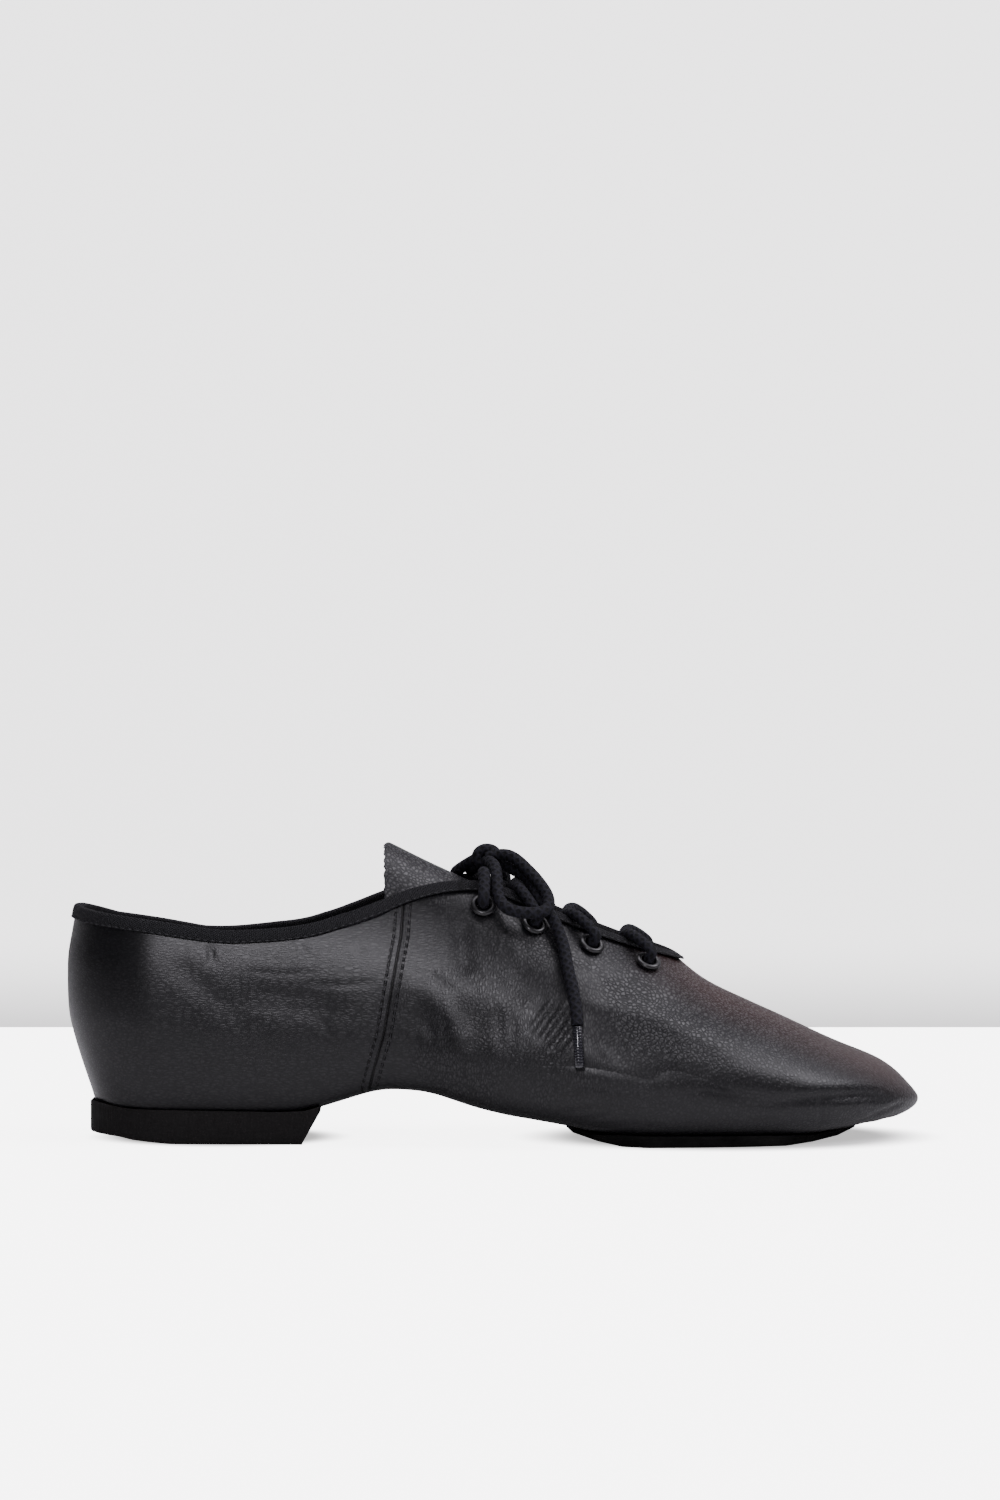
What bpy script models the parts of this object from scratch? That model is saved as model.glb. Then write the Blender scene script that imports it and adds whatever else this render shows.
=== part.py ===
"""A soft split-sole jazz shoe, the right one of a pair, standing empty on its sole.
Metres, +X to the toe, +Y to the inner side of the foot, +Z up.
The origin is on the floor, under the middle of the heel's flat."""

import math
from collections import namedtuple

import bmesh
import bpy
from mathutils import Matrix, Vector
from mathutils.bvhtree import BVHTree

# Driving sizes of the last and of the shoe's outline
LENGTH = 0.2564
BALL_WIDTH = 0.086
INSTEP_HEIGHT = 0.0795
ARCH_RISE = 0.0105
TOE_SPRING = 0.0052
SPRING_CURVE = 1.3
TIP_HEIGHT = 0.0112
HEEL_CUP = 0.028
TOE_ROUND = 0.041
NOSE_ROUND = 0.010

# Leather, sole and heel
WALL = 0.0012
GAP = 0.0003
SOLE_THICKNESS = 0.0020
HEEL_HEIGHT = 0.0080
HEEL_LENGTH = 0.0685
HEEL_ROCKER = 0.0030
HEEL_FLAT_START = 0.0180
BREAST_SLANT = 0.0055
INSOLE_THICKNESS = 0.0015
TONGUE_THICKNESS = 0.0012
LASTING_MARGIN = 0.011
SOLE_BACK_ROUND = 0.019
SOLE_FRONT_ROUND = 0.026
INSOLE_SEAT = 0.0004  # the flat facets of the upper and of the insole meet at this gap

# Bound edge and lacing
BINDING_WIDTH = 0.0042
BINDING_THICKNESS = 0.0006
THROAT_ROUND = 0.009
EYELET_OUTER = 0.0073
EYELET_HOLE = 0.0043
EYELET_METAL = 0.0003
EYELET_FLANGE = 0.0006
EYELET_SEAT = 0.00060  # a flat flange clears the curved leather by a little more than GAP
EYELET_INSET = 0.0088
LACE = 0.0031
TIP_WIDTH = 0.0032

# The bow's cord lies free, so its points are the places where it was chosen to lie
KNOT_PLACE = (0.0776, -0.0030, 0.0845)
KNOT_SIZE = (0.0084, 0.0100, 0.0064)
LEAD_ENDS = ((0.0766, -0.0065, 0.0799), (0.0766, 0.0006, 0.0799))
LOOP_OUTER = (
    (0.0824, -0.0074, 0.0854),
    (0.0857, -0.0096, 0.0846),
    (0.0894, -0.0130, 0.0816),
    (0.0931, -0.0168, 0.0778),
    (0.0958, -0.0212, 0.0737),
    (0.0955, -0.0252, 0.0705),
    (0.0920, -0.0278, 0.0694),
    (0.0870, -0.0277, 0.0697),
    (0.0830, -0.0262, 0.0711),
    (0.0810, -0.0230, 0.0744),
    (0.0806, -0.0194, 0.0783),
    (0.0801, -0.0145, 0.0818),
    (0.0789, -0.0100, 0.0832),
)
LOOP_INNER = (
    (0.0736, 0.0002, 0.0848),
    (0.0695, 0.0056, 0.0838),
    (0.0676, 0.0115, 0.0824),
    (0.0669, 0.0166, 0.0792),
    (0.0683, 0.0194, 0.0748),
    (0.0720, 0.0214, 0.0708),
    (0.0770, 0.0224, 0.0692),
    (0.0810, 0.0216, 0.0706),
    (0.0830, 0.0192, 0.0750),
    (0.0824, 0.0146, 0.0796),
    (0.0806, 0.0090, 0.0830),
    (0.0790, 0.0030, 0.0844),
)
END_OUTER = (
    (0.0825, -0.0040, 0.0826),
    (0.0859, -0.0076, 0.0808),
    (0.0904, -0.0116, 0.0780),
    (0.0936, -0.0180, 0.0724),
    (0.0976, -0.0221, 0.0665),
    (0.1001, -0.0265, 0.0603),
    (0.1016, -0.0319, 0.0535),
    (0.1031, -0.0360, 0.0472),
    (0.1041, -0.0395, 0.0409),
    (0.1043, -0.0411, 0.0371),
)
END_INNER = (
    (0.0822, -0.0003, 0.0831),
    (0.0856, 0.0026, 0.0822),
    (0.0897, 0.0073, 0.0799),
    (0.0933, 0.0122, 0.0751),
    (0.0968, 0.0166, 0.0677),
    (0.0992, 0.0217, 0.0610),
    (0.1006, 0.0268, 0.0541),
    (0.1019, 0.0311, 0.0475),
    (0.1030, 0.0344, 0.0411),
    (0.1035, 0.0361, 0.0372),
)
TIP_ENDS = ((0.1049, -0.0440, 0.0245), (0.1043, 0.0395, 0.0245))

# Stretches of the length, as shares of LENGTH from the back of the heel
THROAT_END = 0.712
SOLE_START, SOLE_END = 0.585, 0.925
SOLE_FLAT_END = 0.835
HEEL_OPENING = (0.055, 0.245)
BALL_OPENING = (0.640, 0.900)
INSOLE_START, INSOLE_END = 0.035, 0.965
EYELET_STATIONS = (0.488, 0.546, 0.613, 0.679)

# How much of the section's half width each layer under the foot covers
FLAT_SHARE = 0.70
HEEL_COVER = 0.80
SOLE_COVER = 0.82
INSOLE_COVER = 0.80
OPENING_COVER = 0.90

# One row for each section of the last. at: share of LENGTH. half, swing: half width, and
# the centre line's shift to the inner side, as shares of BALL_WIDTH. seat: 1 on the heel,
# 0 on the ball. arch: share of ARCH_RISE. wide, top: heights of the widest line and of the
# top edge or ridge, as shares of INSTEP_HEIGHT. edge: the top edge's distance from the
# centre line, as a share of the half width. full: 2 is an ellipse, 1 a straight side.
Section = namedtuple("Section", "at half swing seat arch wide top edge full")
SECTIONS = (
    Section(0.000, 0.335, 0.000, 1.00, 0.00, 0.44, 0.876, 0.84, 2.00),
    Section(0.050, 0.335, 0.000, 1.00, 0.00, 0.44, 0.850, 0.84, 2.00),
    Section(0.110, 0.340, 0.000, 1.00, 0.00, 0.42, 0.820, 0.85, 2.00),
    Section(0.200, 0.350, -0.004, 1.00, 0.00, 0.38, 0.778, 0.86, 2.00),
    Section(0.265, 0.350, -0.010, 0.95, 0.02, 0.36, 0.781, 0.85, 2.00),
    Section(0.320, 0.352, -0.018, 0.80, 0.44, 0.37, 0.826, 0.79, 1.95),
    Section(0.370, 0.358, -0.026, 0.62, 0.93, 0.37, 0.910, 0.70, 1.90),
    Section(0.405, 0.367, -0.032, 0.51, 1.00, 0.36, 0.954, 0.60, 1.85),
    Section(0.450, 0.385, -0.036, 0.40, 0.80, 0.34, 0.980, 0.47, 1.80),
    Section(0.485, 0.403, -0.036, 0.32, 0.55, 0.32, 0.980, 0.39, 1.80),
    Section(0.560, 0.445, -0.032, 0.17, 0.30, 0.28, 0.877, 0.31, 1.74),
    Section(0.625, 0.479, -0.022, 0.06, 0.10, 0.25, 0.792, 0.25, 1.62),
    Section(0.665, 0.493, -0.013, 0.00, 0.00, 0.23, 0.745, 0.21, 1.58),
    Section(0.712, 0.500, 0.000, 0.00, 0.00, 0.22, 0.695, 0.17, 1.64),
    Section(0.730, 0.500, 0.004, 0.00, 0.00, 0.215, 0.630, 0.00, 1.68),
    Section(0.765, 0.495, 0.013, 0.00, 0.00, 0.21, 0.570, 0.00, 1.76),
    Section(0.835, 0.468, 0.036, 0.00, 0.00, 0.19, 0.464, 0.00, 1.90),
    Section(0.906, 0.425, 0.056, 0.00, 0.00, 0.17, 0.355, 0.00, 2.00),
    Section(0.953, 0.390, 0.068, 0.00, 0.00, 0.155, 0.294, 0.00, 2.00),
    Section(1.000, 0.350, 0.078, 0.00, 0.00, 0.141, 0.190, 0.00, 2.00),
)

# The back of the heel in side view. height: share of INSTEP_HEIGHT. inset: share of LENGTH.
Back = namedtuple("Back", "height inset")
BACK_PROFILE = (
    Back(0.10, 0.0340),
    Back(0.17, 0.0300),
    Back(0.26, 0.0200),
    Back(0.36, 0.0098),
    Back(0.46, 0.0020),
    Back(0.57, 0.0000),
    Back(0.68, 0.0000),
    Back(0.78, 0.0055),
    Back(0.887, 0.0110),
)
BACK_FADE = 0.24

# The tongue, from its root under the vamp to its raw end. at: share of LENGTH. ridge, hem:
# heights of its middle and of its side edges, as shares of INSTEP_HEIGHT. half: half width
# at the edges, as a share of BALL_WIDTH. lean: how far the edges lie behind the middle.
TonguePiece = namedtuple("TonguePiece", "at ridge hem half lean")
TONGUE = (
    TonguePiece(0.735, 0.590, 0.555, 0.100, 0.000),
    TonguePiece(0.712, 0.615, 0.545, 0.130, 0.000),
    TonguePiece(0.665, 0.670, 0.520, 0.165, 0.000),
    TonguePiece(0.600, 0.758, 0.530, 0.195, 0.000),
    TonguePiece(0.540, 0.852, 0.560, 0.215, 0.000),
    TonguePiece(0.480, 0.965, 0.600, 0.225, 0.003),
    TonguePiece(0.425, 1.050, 0.660, 0.230, 0.004),
    TonguePiece(0.371, 1.136, 0.720, 0.235, 0.000),
)

SIDES = (-1, 1)  # the outer side of the foot, then the inner side
SIDE_STEPS = 7
TURN_STEPS = 3
TONGUE_STEPS = 13


def smooth(rows, at, column, key="at"):
    """The column's value at a place, on a curve that never swings past its rows."""
    place = [getattr(row, key) for row in rows]
    value = [getattr(row, column) for row in rows]
    if place[0] > place[-1]:
        place, value = place[::-1], value[::-1]
    at = min(max(at, place[0]), place[-1])
    last = len(place) - 1
    rise = [(value[i + 1] - value[i]) / (place[i + 1] - place[i]) for i in range(last)]
    slope = [rise[0]]
    for i in range(1, last):
        before, after = rise[i - 1], rise[i]
        slope.append(2 * before * after / (before + after) if before * after > 0 else 0.0)
    slope.append(rise[-1])
    i = max(k for k in range(last) if place[k] <= at)
    span = place[i + 1] - place[i]
    t = (at - place[i]) / span
    return (
        value[i] * (1 + 2 * t) * (1 - t) ** 2
        + value[i + 1] * t * t * (3 - 2 * t)
        + span * t * (1 - t) * (slope[i] * (1 - t) - slope[i + 1] * t)
    )


def round_end(distance, radius):
    """0 at an end, growing as a quarter circle to 1 at the radius."""
    left = 1 - min(max(distance / radius, 0.0), 1.0)
    return math.sqrt(1 - left * left)


def back_inset(height):
    return smooth(BACK_PROFILE, height / INSTEP_HEIGHT, "inset", "height") * LENGTH


def rest_x():
    """Where the middle of the heel's flat lies, from the back of the shoe."""
    return back_inset(underside(0.0)) + (HEEL_FLAT_START + HEEL_LENGTH - BREAST_SLANT) / 2


def along(at, height):
    """The x of a station, set in at the heel by the back's side view."""
    fade = max(0.0, 1 - at / BACK_FADE) ** 2
    return at * LENGTH + back_inset(height) * fade - rest_x()


def half_width(at):
    ends = round_end(at * LENGTH, HEEL_CUP) * round_end((1 - at) * LENGTH, TOE_ROUND)
    return smooth(SECTIONS, at, "half") * BALL_WIDTH * ends


def centre(at):
    return smooth(SECTIONS, at, "swing") * BALL_WIDTH


def nose(at, height):
    """Draws a height in to the tip of the toe over the last stretch."""
    return TIP_HEIGHT + (height - TIP_HEIGHT) * round_end((1 - at) * LENGTH, NOSE_ROUND)


def heel_rocker(at):
    """How far the back of the heel turns up from the floor."""
    return HEEL_ROCKER * max(0.0, 1 - at * LENGTH / HEEL_FLAT_START) ** 2


def underside(at):
    """Height of the upper's underside on the centre line."""
    seat = smooth(SECTIONS, at, "seat")
    height = SOLE_THICKNESS + GAP + seat * (HEEL_HEIGHT - SOLE_THICKNESS)
    height += smooth(SECTIONS, at, "arch") * ARCH_RISE
    height += heel_rocker(at)
    spring = max(0.0, (at - SOLE_FLAT_END) / (1 - SOLE_FLAT_END))
    return nose(at, height + TOE_SPRING * spring**SPRING_CURVE)


def widest(at):
    return nose(at, smooth(SECTIONS, at, "wide") * INSTEP_HEIGHT)


def top_height(at):
    return nose(at, smooth(SECTIONS, at, "top") * INSTEP_HEIGHT)


def top_reach(at):
    """The top edge's distance from the centre line: nothing past the throat's end."""
    if at >= THROAT_END:
        return 0.0
    closing = round_end((THROAT_END - at) * LENGTH, THROAT_ROUND)
    return smooth(SECTIONS, at, "edge") * half_width(at) * closing


def floor_rise(at, reach):
    """Height of the upper's faceted underside at a distance from the centre line."""
    half, low, high = half_width(at), underside(at), widest(at)
    flat = FLAT_SHARE * half
    if reach <= flat or half < 1e-6:
        return low
    turns = [i / TURN_STEPS * math.pi / 2 for i in range(TURN_STEPS + 1)]
    for before, after in zip(turns, turns[1:]):
        start = flat + (half - flat) * math.sin(before)
        end = flat + (half - flat) * math.sin(after)
        if reach <= end + 1e-9:
            share = (reach - start) / (end - start)
            cosine = math.cos(before) * (1 - share) + math.cos(after) * share
            return high - (high - low) * cosine
    return high


def opening_reach(at, opening):
    start, end = opening
    if not start < at < end:
        return 0.0
    ends = round_end((at - start) * LENGTH, LASTING_MARGIN)
    ends *= round_end((end - at) * LENGTH, LASTING_MARGIN)
    return max(0.0, OPENING_COVER * half_width(at) - LASTING_MARGIN) * ends


def side_point(at, side, share):
    """A point of the side, from the widest line (share 0) to the top edge (share 1)."""
    half, reach = half_width(at), top_reach(at)
    low, high, full = widest(at), top_height(at), smooth(SECTIONS, at, "full")
    if half < 1e-6:
        height = low + (high - low) * share
        return Vector((along(at, height), centre(at), height))
    last = math.acos((reach / half) ** (full / 2))
    tall = (high - low) / math.sin(last) ** (2 / full)
    angle = last * share
    out = half * max(math.cos(angle), 0.0) ** (2 / full)
    height = low + tall * math.sin(angle) ** (2 / full)
    if share == 1:
        out = reach
    return Vector((along(at, height), centre(at) + side * out, height))


def edge_point(at, side):
    return side_point(at, side, 1.0)


def lower_point(at, side, turn):
    """A point of the quarter turn from the flat underside (0) to the widest line (1)."""
    half, low, high = half_width(at), underside(at), widest(at)
    flat = FLAT_SHARE * half
    angle = turn * math.pi / 2
    out = flat + (half - flat) * math.sin(angle)
    height = high - (high - low) * math.cos(angle)
    return Vector((along(at, height), centre(at) + side * out, height))


def side_normal(at, side, share):
    step = 1e-3
    ahead = side_point(at + step, side, share) - side_point(at - step, side, share)
    up = side_point(at, side, share + step) - side_point(at, side, share - step)
    return (side * up.cross(ahead)).normalized()


def stations():
    """Shares of the length at which the upper's sections stand, closer at both ends."""
    fan = [1 - math.cos(math.radians(a)) for a in (0, 14, 28, 41, 54, 67, 80)]
    found = [HEEL_CUP * f / LENGTH for f in fan]
    throat = [THROAT_END - THROAT_ROUND * f / LENGTH for f in (1.0, 0.45, 0.12, 0.0)]
    body_steps, vamp_steps = 20, 4
    start, end = HEEL_CUP / LENGTH, throat[0]
    found += [start + (end - start) * i / body_steps for i in range(body_steps)]
    found += throat
    toe = 1 - TOE_ROUND / LENGTH
    step = (toe - THROAT_END) / vamp_steps
    found += [THROAT_END + step * i for i in range(1, vamp_steps)]
    found += [1 - TOE_ROUND / LENGTH * f for f in (1.0, 0.8, 0.61, 0.44, 0.29, 0.165, 0.075, 0.02, 0)]
    return found


def section_points(at, side):
    """One side's section, from the opening or the centre line below to the top edge."""
    low = underside(at)
    reach = opening_reach(at, HEEL_OPENING) + opening_reach(at, BALL_OPENING)
    points = [Vector((along(at, low), centre(at) + side * reach, low))]
    points += [lower_point(at, side, i / TURN_STEPS) for i in range(TURN_STEPS + 1)]
    points += [side_point(at, side, i / SIDE_STEPS) for i in range(1, SIDE_STEPS + 1)]
    return points


def new_object(name, mesh, material, collection):
    made = bpy.data.objects.new(name, mesh)
    collection.objects.link(made)
    mesh.materials.append(material)
    return made


def mesh_from(bm, name):
    bmesh.ops.dissolve_degenerate(bm, dist=1e-6, edges=bm.edges)
    mesh = bpy.data.meshes.new(name)
    bm.to_mesh(mesh)
    bm.free()
    mesh.shade_smooth()
    mesh.set_sharp_from_angle(angle=math.radians(40))
    return mesh


def add_face(bm, corners):
    """A face of the corners that differ, if at least three do."""
    kept = [v for i, v in enumerate(corners) if v not in corners[:i]]
    if len(kept) > 2 and not bm.faces.get(kept):
        bm.faces.new(kept)


def shared_vertex(bm, known, point):
    key = tuple(round(value * 1e6) for value in point)
    if key not in known:
        known[key] = bm.verts.new(point)
    return known[key]


def upper_surface(bm):
    """The upper's outer face as one open grid, both sides joined at back, arch and vamp."""
    known = {}
    rims = {}
    for side in SIDES:
        columns = []
        for at in stations():
            row = [shared_vertex(bm, known, p) for p in section_points(at, side)]
            columns.append(row)
        for before, after in zip(columns, columns[1:]):
            for low in range(len(before) - 1):
                corners = [before[low], after[low], after[low + 1], before[low + 1]]
                add_face(bm, corners if side < 0 else corners[::-1])
        rims[side] = [row[-1] for row in columns]
    bm.normal_update()
    return rims


def make_upper(material, collection):
    """The lasted upper, and a search tree of its outer face for what lies under it."""
    bm = bmesh.new()
    upper_surface(bm)
    tree = BVHTree.FromBMesh(bm)
    made = new_object("upper", mesh_from(bm, "upper"), material, collection)
    wall = made.modifiers.new("wall", "SOLIDIFY")
    wall.thickness = WALL
    wall.offset = -1
    return made, tree


def edge_loop():
    """(point, outward normal) round the collar and throat, once round without repeats."""
    bm = bmesh.new()
    rims = upper_surface(bm)
    count = sum(1 for at in stations() if at <= THROAT_END + 1e-9)
    outer = rims[-1][:count]
    inner = rims[1][1 : count - 1]
    found = [(v.co.copy(), v.normal.copy()) for v in outer + inner[::-1]]
    bm.free()
    return found


def make_binding(material, collection):
    """A folded tape round the collar and throat: a U whose legs lie on both faces."""
    outside = GAP + BINDING_THICKNESS
    inside = -WALL - outside
    tip, turn = GAP + BINDING_THICKNESS, GAP
    profile = (
        (-BINDING_WIDTH, GAP),
        (-BINDING_WIDTH, outside),
        (turn, outside),
        (tip, GAP),
        (tip, -WALL - GAP),
        (turn, inside),
        (-BINDING_WIDTH, inside),
        (-BINDING_WIDTH, -WALL - GAP),
        (turn, -WALL - GAP),
        (turn, GAP),
    )
    loop = edge_loop()
    bm = bmesh.new()
    rings = []
    for i, (point, normal) in enumerate(loop):
        run = (loop[(i + 1) % len(loop)][0] - loop[i - 1][0]).normalized()
        up = normal.cross(run).normalized()
        out = run.cross(up).normalized()
        rings.append([bm.verts.new(point + up * u + out * n) for u, n in profile])
    for i, ring in enumerate(rings):
        after = rings[(i + 1) % len(rings)]
        for k in range(len(profile)):
            nxt = (k + 1) % len(profile)
            bm.faces.new((ring[k], ring[nxt], after[nxt], after[k]))
    bmesh.ops.recalc_face_normals(bm, faces=bm.faces)
    return new_object("collar_binding", mesh_from(bm, "collar_binding"), material, collection)


def make_slab(name, columns, material, collection):
    """A closed layer from columns of (top point, bottom point) pairs, ends included."""
    bm = bmesh.new()
    known = {}
    top = [[shared_vertex(bm, known, pair[0]) for pair in column] for column in columns]
    bottom = [[shared_vertex(bm, known, pair[1]) for pair in column] for column in columns]
    width = len(columns[0])
    for i in range(len(columns) - 1):
        for k in range(width - 1):
            add_face(bm, [top[i][k], top[i + 1][k], top[i + 1][k + 1], top[i][k + 1]])
            add_face(bm, [bottom[i][k], bottom[i][k + 1], bottom[i + 1][k + 1], bottom[i + 1][k]])
        for k, turned in ((0, False), (width - 1, True)):
            corners = [top[i][k], bottom[i][k], bottom[i + 1][k], top[i + 1][k]]
            add_face(bm, corners[::-1] if turned else corners)
    for i, turned in ((0, True), (len(columns) - 1, False)):
        for k in range(width - 1):
            corners = [top[i][k], bottom[i][k], bottom[i][k + 1], top[i][k + 1]]
            add_face(bm, corners[::-1] if turned else corners)
    bmesh.ops.recalc_face_normals(bm, faces=bm.faces)
    return new_object(name, mesh_from(bm, name), material, collection)


def spots_between(start, end):
    """The upper's own stations between two shares, and the two shares."""
    return [start] + [at for at in stations() if start < at < end] + [end]


def layer_reaches(half, limit):
    """Distances across a layer: the section's own levels as far as the layer's limit."""
    turn = FLAT_SHARE + (1 - FLAT_SHARE) * math.sin(math.pi / 2 / TURN_STEPS)
    reaches = [min(share * half, limit) for share in (FLAT_SHARE / 2, FLAT_SHARE, turn, 1.0)]
    return [-reach for reach in reaches[::-1]] + [0.0] + reaches


def underfoot(tree, x, y, height):
    """Height of the upper's outer face over a point of the floor, or the one given."""
    hit = tree.ray_cast(Vector((x, y, -LENGTH)), Vector((0, 0, 1)))[0]
    return hit.z if hit and hit.z < height + BREAST_SLANT else height


def make_sole(tree, material, collection):
    """The forefoot's suede patch: flat below where it stands, and up with arch and toe."""
    columns = []
    for at in spots_between(SOLE_START, SOLE_END):
        ends = round_end((at - SOLE_START) * LENGTH, SOLE_BACK_ROUND)
        ends *= round_end((SOLE_END - at) * LENGTH, SOLE_FRONT_ROUND)
        half = half_width(at)
        low = underside(at) - GAP - SOLE_THICKNESS
        column = []
        for reach in layer_reaches(half, SOLE_COVER * half * ends):
            x, y = along(at, underside(at)), centre(at) + reach
            top = underfoot(tree, x, y, floor_rise(at, abs(reach))) - GAP
            column.append((Vector((x, y, top)), Vector((x, y, low))))
        columns.append(column)
    return make_slab("forefoot_sole", columns, material, collection)


def make_heel(tree, material, collection):
    """The heel block: its top follows the seat, its breast slants back to the floor."""
    back = along(0.0, underside(0.0))
    front = (back_inset(underside(0.0)) + HEEL_LENGTH) / LENGTH
    keep = 1 - BREAST_SLANT / HEEL_LENGTH
    columns = []
    for at in spots_between(0.0, front):
        half = half_width(at)
        low = heel_rocker(at)
        column = []
        for reach in layer_reaches(half, HEEL_COVER * half):
            x, y = along(at, underside(at)), centre(at) + reach
            top = underfoot(tree, x, y, floor_rise(at, abs(reach))) - GAP
            foot = Vector((back + (x - back) * keep, y, low))
            column.append((Vector((x, y, top)), foot))
        columns.append(column)
    return make_slab("heel", columns, material, collection)


def make_insole(material, collection):
    """The sock on the lasted upper's inside, a smaller copy of its outline."""
    columns = []
    for at in spots_between(INSOLE_START, INSOLE_END):
        share_along = (at - INSOLE_START) / (INSOLE_END - INSOLE_START)
        half = half_width(at)
        column = []
        for reach in layer_reaches(half, INSOLE_COVER * min(half_width(share_along), half)):
            step = 1e-4
            slope = (floor_rise(at, abs(reach)) - floor_rise(at, abs(reach) - step)) / step
            low = floor_rise(at, abs(reach)) + (WALL + INSOLE_SEAT) * math.hypot(1, slope)
            x, y = along(at, low), centre(at) + reach
            column.append((Vector((x, y, low + INSOLE_THICKNESS)), Vector((x, y, low))))
        columns.append(column)
    return make_slab("insole", columns, material, collection)


def tongue_point(at, turn):
    """A point of the tongue's outer face: turn runs from -1, outer hem, to 1, inner hem."""
    ridge = smooth(TONGUE, at, "ridge") * INSTEP_HEIGHT
    hem = smooth(TONGUE, at, "hem") * INSTEP_HEIGHT
    half = smooth(TONGUE, at, "half") * BALL_WIDTH
    angle = turn * math.pi / 2
    bow = smooth(TONGUE, at, "lean") * LENGTH * math.sin(2 * angle) ** 2
    x = at * LENGTH - rest_x() - bow
    return Vector((x, centre(at) + half * math.sin(angle), hem + (ridge - hem) * math.cos(angle)))


def make_tongue(material, collection):
    bm = bmesh.new()
    turns = [i / 6 for i in range(-6, 7)]
    start, length = TONGUE[-1].at, TONGUE[0].at - TONGUE[-1].at
    spots = [start + length * i / TONGUE_STEPS for i in range(TONGUE_STEPS + 1)]
    rows = [[bm.verts.new(tongue_point(at, turn)) for turn in turns] for at in spots]
    for before, after in zip(rows, rows[1:]):
        for k in range(len(turns) - 1):
            bm.faces.new((before[k], after[k], after[k + 1], before[k + 1]))
    made = new_object("tongue", mesh_from(bm, "tongue"), material, collection)
    wall = made.modifiers.new("wall", "SOLIDIFY")
    wall.thickness = TONGUE_THICKNESS
    wall.offset = -1
    return made


def eyelet_place(at, side):
    """(centre on the upper's outer face, outward normal) of one eyelet."""
    steps = 60
    walked, here = 0.0, edge_point(at, side)
    for i in range(steps - 1, -1, -1):
        there = side_point(at, side, i / steps)
        walked += (there - here).length
        here = there
        if walked >= EYELET_INSET:
            return there, side_normal(at, side, i / steps)
    return here, side_normal(at, side, 0.5)


def eyelet_frame(number, side):
    """(centre, outward normal) of the eyelet counted from the top pair, 0."""
    return eyelet_place(EYELET_STATIONS[number], side)


def make_eyelets(upper, material, collection, cutters):
    """Turned metal rings through the upper, and one cutter for their holes."""
    hole, barrel = EYELET_HOLE / 2, EYELET_HOLE / 2 + EYELET_METAL
    outer, top = EYELET_OUTER / 2, EYELET_SEAT + EYELET_FLANGE
    under, foot = -WALL - EYELET_SEAT, -WALL - EYELET_SEAT - EYELET_METAL
    profile = (
        (hole, top - EYELET_METAL),
        (barrel, top),
        (outer - EYELET_FLANGE, top),
        (outer, top - EYELET_METAL),
        (outer, EYELET_SEAT),
        (barrel, EYELET_SEAT),
        (barrel, under),
        (outer - EYELET_FLANGE, under),
        (outer - EYELET_FLANGE, foot),
        (hole, foot),
    )
    flat = bpy.data.meshes.new("eyelet")
    count = len(profile)
    edges = [(i, (i + 1) % count) for i in range(count)]
    flat.from_pydata([(r, 0, z) for r, z in profile], edges, [])
    holes = bmesh.new()
    for number in range(len(EYELET_STATIONS)):
        for side in SIDES:
            place, normal = eyelet_frame(number, side)
            turn = Vector((0, 0, 1)).rotation_difference(normal).to_matrix().to_4x4()
            matrix = Matrix.Translation(place) @ turn
            name = f"eyelet_{'outer' if side < 0 else 'inner'}_{number + 1}"
            ring = bpy.data.objects.new(name, flat)
            collection.objects.link(ring)
            ring.matrix_world = matrix
            screw = ring.modifiers.new("turn", "SCREW")
            screw.steps = screw.render_steps = 12
            screw.use_merge_vertices = True
            screw.merge_threshold = 1e-5
            bmesh.ops.create_cone(
                holes,
                cap_ends=True,
                segments=12,
                radius1=barrel + GAP,
                radius2=barrel + GAP,
                depth=4 * WALL,
                matrix=matrix,
            )
    flat.materials.append(material)
    mesh = bpy.data.meshes.new("eyelet_holes")
    holes.to_mesh(mesh)
    holes.free()
    cutter = bpy.data.objects.new("eyelet_holes", mesh)
    cutters.objects.link(cutter)
    cutter.hide_render = True
    cutter.display_type = "WIRE"
    cut = upper.modifiers.new("eyelet_holes", "BOOLEAN")
    cut.operation = "DIFFERENCE"
    cut.object = cutter


def curve_through(points, spacing):
    """Points a spacing apart on a smooth curve through the given ones, ends kept."""
    points = [Vector(p) for p in points]
    padded = [2 * points[0] - points[1]] + points + [2 * points[-1] - points[-2]]
    fine = []
    parts = 12
    for a, b, c, d in zip(padded, padded[1:], padded[2:], padded[3:]):
        for i in range(parts):
            t = i / parts
            fine.append(
                0.5
                * (
                    2 * b
                    + (c - a) * t
                    + (2 * a - 5 * b + 4 * c - d) * t * t
                    + (3 * b - a - 3 * c + d) * t**3
                )
            )
    fine.append(points[-1])
    reach = [0.0]
    for before, after in zip(fine, fine[1:]):
        reach.append(reach[-1] + (after - before).length)
    count = max(3, round(reach[-1] / spacing))
    found = []
    k = 0
    for i in range(count + 1):
        goal = reach[-1] * i / count
        while k < len(fine) - 2 and reach[k + 1] < goal:
            k += 1
        share = (goal - reach[k]) / (reach[k + 1] - reach[k])
        found.append(fine[k].lerp(fine[k + 1], min(share, 1.0)))
    return found


def make_tube(name, points, width, material, collection):
    curve = bpy.data.curves.new(name, "CURVE")
    curve.dimensions = "3D"
    curve.bevel_depth = width / 2
    curve.bevel_resolution = 2
    curve.use_fill_caps = True
    spline = curve.splines.new("POLY")
    spline.points.add(len(points) - 1)
    for spot, point in zip(spline.points, points):
        spot.co = (*point, 1)
    made = bpy.data.objects.new(name, curve)
    collection.objects.link(made)
    curve.materials.append(material)
    return made


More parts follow.
